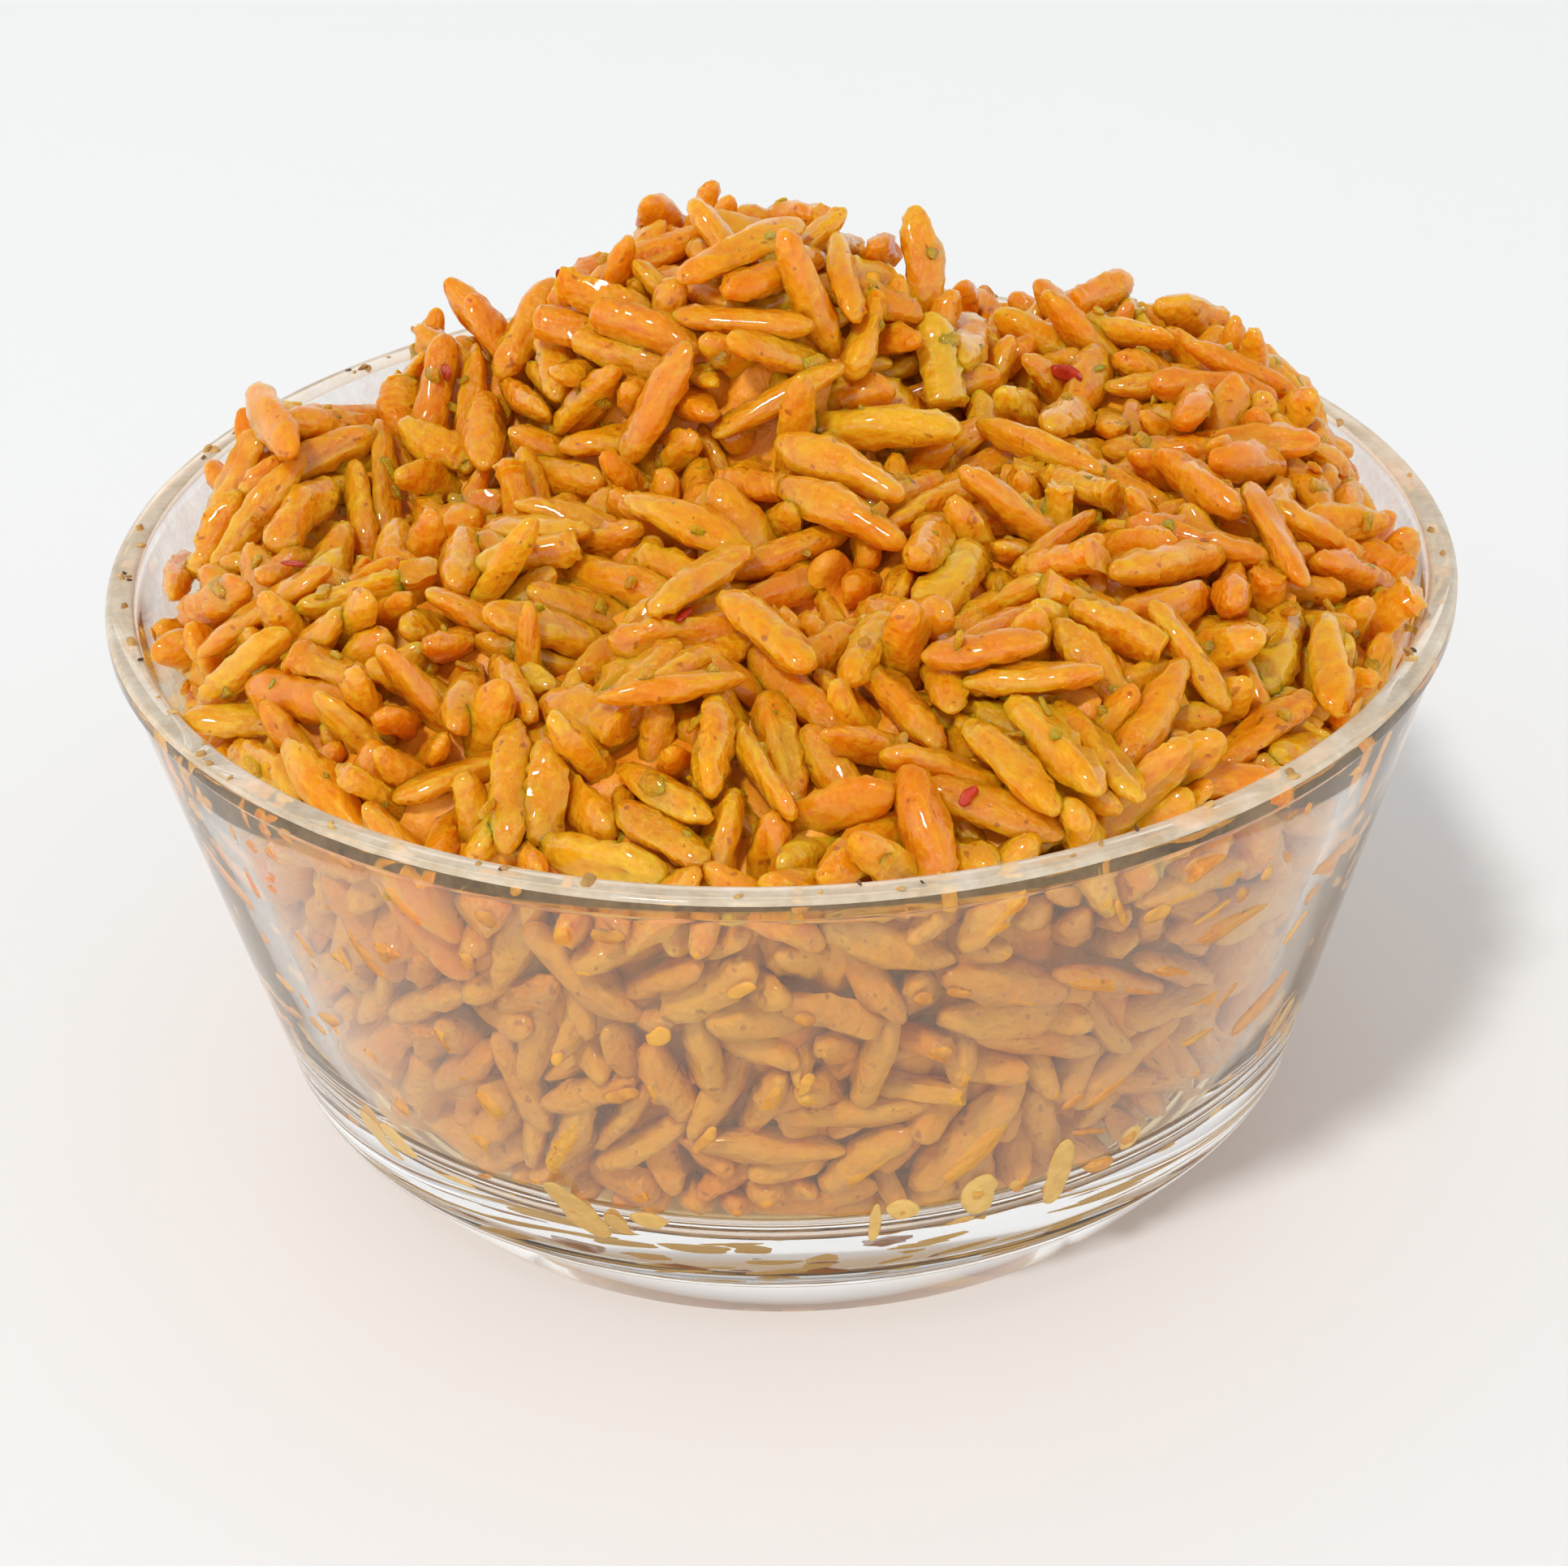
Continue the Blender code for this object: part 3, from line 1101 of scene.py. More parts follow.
class Scatter:
    """Geometry Nodes that set a stock piece on each point, join the copies and dress them."""

    def __init__(self) -> None:
        """Builds the tree once."""
        tree = bpy.data.node_groups.new("stock_on_points", "GeometryNodeTree")
        self.tree = tree
        sockets = tree.interface
        sockets.new_socket(name="Points", in_out="INPUT", socket_type="NodeSocketGeometry")
        stock = sockets.new_socket(name="Stock", in_out="INPUT", socket_type="NodeSocketCollection")
        finish = sockets.new_socket(name="Finish", in_out="INPUT", socket_type="NodeSocketMaterial")
        sockets.new_socket(name="Pieces", in_out="OUTPUT", socket_type="NodeSocketGeometry")
        self.inputs = {"Stock": stock.identifier, "Finish": finish.identifier}
        entry = tree.nodes.new("NodeGroupInput")
        leave = tree.nodes.new("NodeGroupOutput")
        info = self._node("GeometryNodeCollectionInfo", {}, {"Collection": entry.outputs["Stock"]})
        info.inputs["Separate Children"].default_value = True
        info.inputs["Reset Children"].default_value = True
        links = {
            "Points": entry.outputs["Points"],
            "Instance": info.outputs[0],
            "Instance Index": self._named("INT", "variant"),
            "Rotation": self._named("QUATERNION", "turn"),
            "Scale": self._named("FLOAT_VECTOR", "size"),
        }
        copies = self._node("GeometryNodeInstanceOnPoints", {}, links)
        copies.inputs["Pick Instance"].default_value = True
        joined = self._node("GeometryNodeRealizeInstances", {}, {"Geometry": copies.outputs[0]})
        links = {"Geometry": joined.outputs[0], "Material": entry.outputs["Finish"]}
        dressed = self._node("GeometryNodeSetMaterial", {}, links)
        tree.links.new(dressed.outputs[0], leave.inputs[0])

    def _node(self, kind: str, settings: dict[str, Any], links: dict[str, Any]) -> bpy.types.Node:
        """Adds one node.

        Args:
            kind: The node's type.
            settings: Its own settings.
            links: The sockets that feed its inputs.

        Returns:
            The node.
        """
        made = self.tree.nodes.new(kind)
        for name, value in settings.items():
            setattr(made, name, value)
        for name, socket in links.items():
            self.tree.links.new(socket, made.inputs[name])
        return made

    def _named(self, data_type: str, name: str) -> bpy.types.NodeSocket:
        """Adds a node that reads a value kept on the points.

        Args:
            data_type: The value's type.
            name: The value's name.

        Returns:
            The node's output.
        """
        made = self._node("GeometryNodeInputNamedAttribute", {"data_type": data_type}, {})
        made.inputs["Name"].default_value = name
        return made.outputs["Attribute"]

    def join(
        self, name: str, places: Places, stock: Sequence[bpy.types.Mesh], finish: bpy.types.Material
    ) -> bpy.types.Object:
        """Copies stock meshes to their places as one plain mesh.

        Args:
            name: The piece's name.
            places: Where the copies go.
            stock: The meshes, which places.variants number.
            finish: The material.

        Returns:
            The joined piece.
        """
        shelf = bpy.data.collections.new(name + "_stock")
        holders = []
        for number, mesh in enumerate(stock):
            holder = bpy.data.objects.new(f"{name}_stock_{number:03d}", mesh)
            shelf.objects.link(holder)
            holders.append(holder)
        points = bpy.data.meshes.new(name + "_points")
        points.from_pydata(places.centres.tolist(), [], [])
        columns = (
            ("turn", "QUATERNION", "value", places.turns),
            ("size", "FLOAT_VECTOR", "vector", places.sizes),
            ("variant", "INT", "value", places.variants.astype(np.int32)),
            ("tint", "FLOAT", "value", places.tints),
            ("seed", "FLOAT", "value", places.seeds),
        )
        for label, kind, key, values in columns:
            column = points.attributes.new(label, kind, "POINT")
            column.data.foreach_set(key, np.ascontiguousarray(values).ravel())
        carrier = new_piece(name + "_points", points)
        modifier = carrier.modifiers.new("stock", "NODES")
        modifier.node_group = self.tree
        modifier[self.inputs["Stock"]] = shelf
        modifier[self.inputs["Finish"]] = finish
        graph = bpy.context.evaluated_depsgraph_get()
        ready = carrier.evaluated_get(graph)
        mesh = bpy.data.meshes.new_from_object(ready, preserve_all_data_layers=True, depsgraph=graph)
        mesh.name = name
        carrier.modifiers.remove(modifier)
        bpy.data.objects.remove(carrier)
        for holder in holders:
            bpy.data.objects.remove(holder)
        bpy.data.collections.remove(shelf)
        return new_piece(name, mesh)


def turns_from_axes(along: np.ndarray, up: np.ndarray) -> np.ndarray:
    """Quaternions that turn X to along and Z towards up.

    Args:
        along: N x 3 unit vectors.
        up: N x 3 vectors, not along the first ones.

    Returns:
        N x 4 quaternions, w first.
    """
    side = np.cross(up, along)
    side /= np.linalg.norm(side, axis=1, keepdims=True) + 1e-9
    third = np.cross(along, side)
    turns = [Matrix((a, b, c)).transposed().to_quaternion() for a, b, c in zip(along, side, third)]
    return np.array([tuple(turn) for turn in turns])


@dataclass(frozen=True)
class PlacedGrain:
    """A grain that lies at a known place on top, in millimetres and degrees, above the heap's outline."""

    x: float
    y: float
    above: float
    bearing: float
    tilt: float
    length: float
    thick: float
    tint: float
    kind: GrainKind = GrainKind.WHOLE


PLACED = (
    PlacedGrain(7.0, -1.0, 0.5, -12, 2, 10.6, 3.3, 1.05),
    PlacedGrain(11.0, 6.6, 1.3, -80, -42, 7.0, 3.0, 0.98, GrainKind.BROKEN),
    PlacedGrain(4.0, -8.0, 0.6, -38, -8, 10.2, 3.1, 0.62),
    PlacedGrain(4.0, -12.2, 0.5, -38, -10, 10.0, 3.0, 0.50),
    PlacedGrain(-6.0, -12.0, 0.6, -38, -6, 9.6, 3.0, 0.64),
    PlacedGrain(-5.0, -19.0, 0.6, 51, 4, 9.8, 2.9, 0.60, GrainKind.SPLIT),
    PlacedGrain(-1.0, -25.0, 0.7, -56, -8, 9.4, 3.1, 0.66),
    PlacedGrain(10.3, 13.6, 1.0, 100, 58, 7.6, 2.7, 0.60, GrainKind.SLENDER),
    PlacedGrain(15.8, -33.9, 0.6, -60, -12, 9.6, 2.7, 0.66, GrainKind.SPLIT),
    PlacedGrain(18.4, -33.2, 0.6, -62, -12, 9.8, 2.6, 0.60, GrainKind.SPLIT),
    PlacedGrain(13.2, -35.0, 0.5, -58, -12, 9.4, 2.6, 0.62, GrainKind.SPLIT),
    PlacedGrain(-2.0, 7.0, 0.8, 38, 6, 10.8, 3.0, 0.56),
)


@dataclass(frozen=True)
class Spread:
    """A measure that varies about a mean, within limits."""

    mean: float
    spread: float
    low: float
    high: float

    def draw(self, rng: np.random.Generator, count: int) -> np.ndarray:
        """As many random values as asked for."""
        return np.clip(rng.normal(self.mean, self.spread, count), self.low, self.high)


@dataclass
class GrainPile:
    """Loose grains that settle under the heap's outline, each as a short chain of balls. Millimetres."""

    outline: HeapOutline
    shapes: Sequence[GrainShape]
    shell: float = 5.6
    fill: float = 0.72
    mean_grain: float = 25.0
    rounds: int = 260
    seed: int = 7
    shares: tuple[tuple[GrainKind, float], ...] = (
        (GrainKind.WHOLE, 0.42),
        (GrainKind.SLENDER, 0.16),
        (GrainKind.SPLIT, 0.22),
        (GrainKind.BROKEN, 0.20),
    )
    placed: tuple[PlacedGrain, ...] = PLACED
    balls: int = 5
    middle_ball: float = 0.94
    end_ball: float = 0.74
    glass_gap: float = 0.12
    length: Spread = Spread(9.1, 0.8, 7.0, 10.8)
    thickness: Spread = Spread(2.80, 0.2, 2.3, 3.25)
    tint: Spread = Spread(0.52, 0.11, 0, 1)
    lift: Spread = Spread(0.35, 0.65, -0.5, 2.0)
    cut_loss: float = 0.62
    slender_thickness: float = 0.88
    proud_share: float = 0.22
    proud_lift: float = 2.6
    start_size: float = 0.6
    grown_at: float = 0.45
    pair_reach: float = 3.5
    pair_rounds: int = 8
    push_share: float = 0.42
    spin_share: float = 1.2

    def settle(self) -> SettledGrains:
        """Packs the grains.

        Returns:
            Their places in metres, with their balls, depths under the free surface and distances from
            the glass.
        """
        rng = np.random.default_rng(self.seed)
        spots = self._spots(rng)
        count = len(spots)
        variants = self._variants(rng, count)
        cuts = np.array([shape.cut for shape in self.shapes])[variants]
        slender = np.array([shape.kind is GrainKind.SLENDER for shape in self.shapes])[variants]
        length = self.length.draw(rng, count) * (1 - cuts * self.cut_loss)
        thick = self.thickness.draw(rng, count) * np.where(slender, self.slender_thickness, 1.0)
        along, up = self._lay(rng, spots)
        tints = self.tint.draw(rng, count)
        for row, grain in enumerate(self.placed):
            spots[row], along[row], variants[row] = self._place(grain)
            length[row], thick[row], tints[row] = grain.length, grain.thick, grain.tint
            up[row] = np.cross(along[row], np.cross((0.0, 0.0, 1.0), along[row]))
            up[row] /= np.linalg.norm(up[row])
        fixed = len(self.placed)
        pinned = spots[:fixed].copy(), along[:fixed].copy(), up[:fixed].copy()
        cuts = np.array([shape.cut for shape in self.shapes])[variants]
        bows = np.array([shape.bow for shape in self.shapes])[variants]
        reach = length * 0.5 - thick * 0.42
        steps = np.linspace(-1, 1, self.balls)
        at_end = np.abs(steps) > 0.9
        radius = thick[:, None] * 0.5 * np.where(at_end, self.end_ball, self.middle_ball)[None, :]
        lift = self.lift.draw(rng, count)
        proud = rng.random(count) < self.proud_share
        off_middle = np.abs(steps) > 0.3
        free = np.where(proud[:, None] & off_middle[None, :], self.proud_lift, 0.0)
        owner = np.repeat(np.arange(count), self.balls)
        sag = (1 - steps**2)[None, :] * (bows * length * BOW_DEPTH * 0.5)[:, None]
        for turn in range(self.rounds):
            growth = min(1.0, self.start_size + (1 - self.start_size) * turn / (self.grown_at * self.rounds))
            reached = along[:, None] * (reach[:, None] * steps)[..., None]
            chain = spots[:, None] + reached + up[:, None] * sag[..., None]
            flat = chain.reshape(-1, 3)
            size = (radius * growth).ravel()
            if turn % self.pair_rounds == 0:
                pairs = self._near(flat, owner, self.pair_reach)
            push = self._contacts(flat, size, pairs)
            push += self._walls(flat, size, (lift[:, None] + free).ravel())
            push = push.reshape(count, self.balls, 3)
            arms = chain - spots[:, None]
            spots = spots + push.sum(axis=1) * self.push_share
            spin = np.cross(arms, push).sum(axis=1) / (np.sum(arms**2, axis=(1, 2)) + 0.5)[:, None]
            along = along + np.cross(spin, along) * self.spin_share
            along /= np.linalg.norm(along, axis=1, keepdims=True)
            up = up + np.cross(spin, up) * self.spin_share
            up -= along * np.sum(along * up, axis=1, keepdims=True)
            up /= np.linalg.norm(up, axis=1, keepdims=True)
            spots[:fixed], along[:fixed], up[:fixed] = pinned
        deepest = self._overlap(flat, size, pairs)
        LOG.info("%d grains settled, overlapping by %.2f mm on average", count, deepest)
        under = self.outline.under_top(flat)[0].reshape(count, -1)
        clear = self.outline.shape.depth_mm(flat)[0].reshape(count, -1)
        sizes = np.stack([length, thick, thick], axis=1) * MM
        sizes[:, 0] /= 1 - cuts * 0.5
        places = Places(spots * MM, turns_from_axes(along, up), sizes, variants, tints, rng.random(count))
        return SettledGrains(places, flat.reshape(count, -1, 3), under, clear)

    def _place(self, grain: PlacedGrain) -> tuple[np.ndarray, np.ndarray, int]:
        """Where a placed grain lies.

        Args:
            grain: The grain.

        Returns:
            Its centre, its direction and the number of its shape.
        """
        bearing, tilt = math.radians(grain.bearing), math.radians(grain.tilt)
        level = math.cos(tilt)
        centre = np.array((grain.x, grain.y, self.outline.height_at(grain.x, grain.y) + grain.above))
        along = np.array((level * math.cos(bearing), level * math.sin(bearing), math.sin(tilt)))
        stock = [index for index, shape in enumerate(self.shapes) if shape.kind is grain.kind]
        return centre, along, stock[int(abs(grain.x * 3)) % len(stock)]

    def _spots(self, rng: np.random.Generator) -> np.ndarray:
        """Random places in the shell under the outline, as many as fill it.

        Args:
            rng: The pile's random numbers.

        Returns:
            N x 3 places.
        """
        low = self.outline.low
        high = low + self.outline.STEP * (self.outline.counts - 1)
        tries = rng.uniform(low, high, (60000, 3))
        depth = self.outline.depth(tries)
        inside = (depth > 0.6) & (depth < self.shell)
        volume = np.prod(high - low) * inside.mean()
        count = int(volume * self.fill / self.mean_grain)
        LOG.info("shell of %.0f cm3 for %d grains", volume / 1000, count)
        return tries[inside][:count]

    def _variants(self, rng: np.random.Generator, count: int) -> np.ndarray:
        """A stock shape for each grain, by the shares of the kinds.

        Args:
            rng: The pile's random numbers.
            count: How many grains.

        Returns:
            The numbers of their shapes.
        """
        kinds = rng.choice(len(self.shares), count, p=[share for _, share in self.shares])
        variants = np.zeros(count, dtype=int)
        for number, (kind, _) in enumerate(self.shares):
            stock = [index for index, shape in enumerate(self.shapes) if shape.kind is kind]
            rows = np.where(kinds == number)[0]
            variants[rows] = rng.choice(stock, len(rows))
        return variants

    def _lay(self, rng: np.random.Generator, spots: np.ndarray) -> tuple[np.ndarray, np.ndarray]:
        """First directions of the grains, mostly along the nearest side.

        Args:
            rng: The pile's random numbers.
            spots: Their places.

        Returns:
            Unit vectors along the grains, and across them.
        """
        top_depth, top_way = self.outline.under_top(spots)
        glass_depth, glass_way = self.outline.shape.depth_mm(spots)
        way = np.where((top_depth < glass_depth)[:, None], top_way, glass_way)
        along = rng.normal(size=spots.shape)
        along -= way * np.sum(along * way, axis=1, keepdims=True)
        along /= np.linalg.norm(along, axis=1, keepdims=True)
        along += way * np.tan(np.radians(rng.normal(0, 32, len(spots)).clip(-70, 70)))[:, None]
        along /= np.linalg.norm(along, axis=1, keepdims=True)
        up = np.cross(along, rng.normal(size=spots.shape))
        up /= np.linalg.norm(up, axis=1, keepdims=True)
        return along, up

    @staticmethod
    def _near(places: np.ndarray, owner: np.ndarray, reach: float) -> tuple[np.ndarray, np.ndarray]:
        """Pairs of balls of different grains that are closer than reach.

        Args:
            places: The balls' places.
            owner: The grain that each ball belongs to.
            reach: The distance.

        Returns:
            The first and the second ball of each pair.
        """
        cell = np.floor((places - places.min(axis=0)) / reach).astype(np.int64) + 1
        wide = cell.max(axis=0) + 2
        key = (cell[:, 0] * wide[1] + cell[:, 1]) * wide[2] + cell[:, 2]
        order = np.argsort(key, kind="stable")
        ranked = key[order]
        firsts, seconds = [], []
        ways = (-1, 0, 1)
        steps = [(x, y, z) for x in ways for y in ways for z in ways if (x, y, z) >= (0, 0, 0)]
        for x, y, z in steps:
            wanted = key + (x * wide[1] + y) * wide[2] + z
            start = np.searchsorted(ranked, wanted, side="left")
            number = np.searchsorted(ranked, wanted, side="right") - start
            first = np.repeat(np.arange(len(key)), number)
            within = np.arange(len(first)) - np.repeat(np.cumsum(number) - number, number)
            second = order[np.repeat(start, number) + within]
            if (x, y, z) == (0, 0, 0):
                keep = first < second
                first, second = first[keep], second[keep]
            keep = owner[first] != owner[second]
            first, second = first[keep], second[keep]
            keep = np.sum((places[first] - places[second]) ** 2, axis=1) < reach**2
            firsts.append(first[keep])
            seconds.append(second[keep])
        return np.concatenate(firsts), np.concatenate(seconds)

    @staticmethod
    def _contacts(places: np.ndarray, size: np.ndarray, pairs: tuple[np.ndarray, np.ndarray]) -> np.ndarray:
        """Pushes balls apart where they overlap.

        Args:
            places: The balls' places.
            size: Their radii.
            pairs: The pairs to look at.

        Returns:
            A push for each ball.
        """
        first, second = pairs
        gap = places[first] - places[second]
        away = np.sqrt(np.sum(gap**2, axis=1)) + 1e-6
        over = size[first] + size[second] - away
        hit = over > 0
        first, second = first[hit], second[hit]
        force = gap[hit] * (0.5 * over[hit] / away[hit])[:, None]
        push = np.zeros_like(places)
        for axis in range(3):
            push[:, axis] += np.bincount(first, force[:, axis], len(places))
            push[:, axis] -= np.bincount(second, force[:, axis], len(places))
        return push

    def _walls(self, places: np.ndarray, size: np.ndarray, lift: np.ndarray) -> np.ndarray:
        """Pushes balls back inside the heap's shell.

        Args:
            places: The balls' places.
            size: Their radii.
            lift: How far each may stand out of the free surface.

        Returns:
            A push for each ball.
        """
        under, down = self.outline.under_top(places)
        clear, away = self.outline.shape.depth_mm(places)
        push = down * np.maximum(size - lift - under, 0)[:, None]
        push += away * np.maximum(size + self.glass_gap - clear, 0)[:, None]
        nearest = np.where((under < clear)[:, None], down, away)
        too_deep = np.maximum(np.minimum(under, clear) - self.shell, 0)
        push -= nearest * too_deep[:, None] * 0.5
        return push

    @staticmethod
    def _overlap(places: np.ndarray, size: np.ndarray, pairs: tuple[np.ndarray, np.ndarray]) -> float:
        """The mean overlap of the balls that touch.

        Args:
            places: The balls' places.
            size: Their radii.
            pairs: The pairs to look at.

        Returns:
            The mean overlap.
        """
        first, second = pairs
        away = np.linalg.norm(places[first] - places[second], axis=1)
        over = size[first] + size[second] - away
        return float(over[over > 0].mean())


@dataclass
class RiceHeap:
    """The loose grains, the core under them and the crumbs on them."""

    outline: HeapOutline
    scatter: Scatter
    variants: dict[GrainKind, int] = field(
        default_factory=lambda: {
            GrainKind.WHOLE: 10,
            GrainKind.SLENDER: 5,
            GrainKind.SPLIT: 5,
            GrainKind.BROKEN: 6,
        }
    )
    meshing: dict[Layer, tuple[int, int]] = field(
        default_factory=lambda: {Layer.TOP: (18, 13), Layer.SIDE: (11, 10), Layer.DEEP: (6, 6)}
    )
    top_depth: float = 4.2
    side_depth: float = 3.4
    core_depth: float = 2.7
    core_middle: float = 27.0
    core_mesh: tuple[int, int] = (110, 200)
    core_waves: int = 26
    core_relief: float = 0.22
    finish: RiceFinish = field(default_factory=RiceFinish)
    core_finish: CoreFinish = field(default_factory=CoreFinish)

    def shapes(self) -> list[GrainShape]:
        """Draws the stock of grain shapes.

        Returns:
            The shapes, kind by kind.
        """
        stock = []
        for rank, (kind, number) in enumerate(self.variants.items(), start=1):
            stock += [GrainShape.draw(kind, 100 * rank + n) for n in range(number)]
        return stock

    def build(self) -> SettledGrains:
        """Builds and hands over every rice piece.

        Returns:
            The grains, for what clings to them.
        """
        core = self.core()
        core.data.materials.append(self.core_finish.make())
        hand_over(core, Slot.RICE, "rice")
        shapes = self.shapes()
        grains = GrainPile(self.outline, shapes).settle()
        places, under, clear = grains.places, grains.under.min(axis=1), grains.clear.min(axis=1)
        finishes = {Layer.TOP: self.finish.make(), Layer.SIDE: BY_THE_GLASS.make()}
        finishes[Layer.DEEP] = finishes[Layer.SIDE]
        layer_of = np.where(under < self.top_depth, 0, np.where(clear < self.side_depth, 1, 2))
        kind_of = np.array([list(GrainKind).index(shape.kind) for shape in shapes])[places.variants]
        for layer_number, layer in enumerate(Layer):
            rings, sides = self.meshing[layer]
            stock = [shape.build(f"grain_{n:02d}", rings, sides) for n, shape in enumerate(shapes)]
            in_layer = layer_of == layer_number
            groups = {"rice_deep": in_layer}
            if layer is not Layer.DEEP:
                groups = {
                    f"rice_{kind.value}_{layer.value}": in_layer & (kind_of == kind_number)
                    for kind_number, kind in enumerate(GrainKind)
                }
            for name, rows in groups.items():
                piece = self.scatter.join(name, places.pick(rows), stock, finishes[layer])
                hand_over(piece, Slot.RICE)
        return grains

    def core(self) -> bpy.types.Object:
        """The closed mass under the grains, with a relief like theirs.

        Returns:
            The core piece, without a finish.
        """
        middle = np.array((0.0, 0.0, self.core_middle))
        rows, columns = self.core_mesh
        polar = np.linspace(0, math.pi, rows + 2)[1:-1]
        turn = np.linspace(0, 2 * math.pi, columns, endpoint=False)
        tilt, azimuth = np.meshgrid(polar, turn, indexing="ij")
        level = np.sin(tilt)
        ways = np.stack([level * np.cos(azimuth), level * np.sin(azimuth), np.cos(tilt)], axis=-1)
        ways = np.concatenate([ways.reshape(-1, 3), [(0, 0, 1), (0, 0, -1)]])
        rng = np.random.default_rng(5)
        step = 0.25
        nearest, farthest = 4.0, 46.0
        near = np.full(len(ways), nearest)
        for distance in np.arange(nearest + step, farthest, step):
            inside = self.outline.depth(middle + ways * distance) > self.core_depth
            near = np.where(inside & (distance - near < step * 1.2), distance, near)
        reach = near
        for _ in range(self.core_waves):
            wave = rng.normal(size=3)
            wave /= np.linalg.norm(wave) * rng.uniform(0.45, 0.9)
            phase = (middle + ways * near[:, None]) @ wave
            reach = reach + self.core_relief * np.sin(phase + rng.uniform(0, 6.28))
        points = (middle + ways * reach[:, None]) * MM
        return new_piece("rice_core", smooth_mesh("rice_core", points.tolist(), ball_faces(rows, columns)))


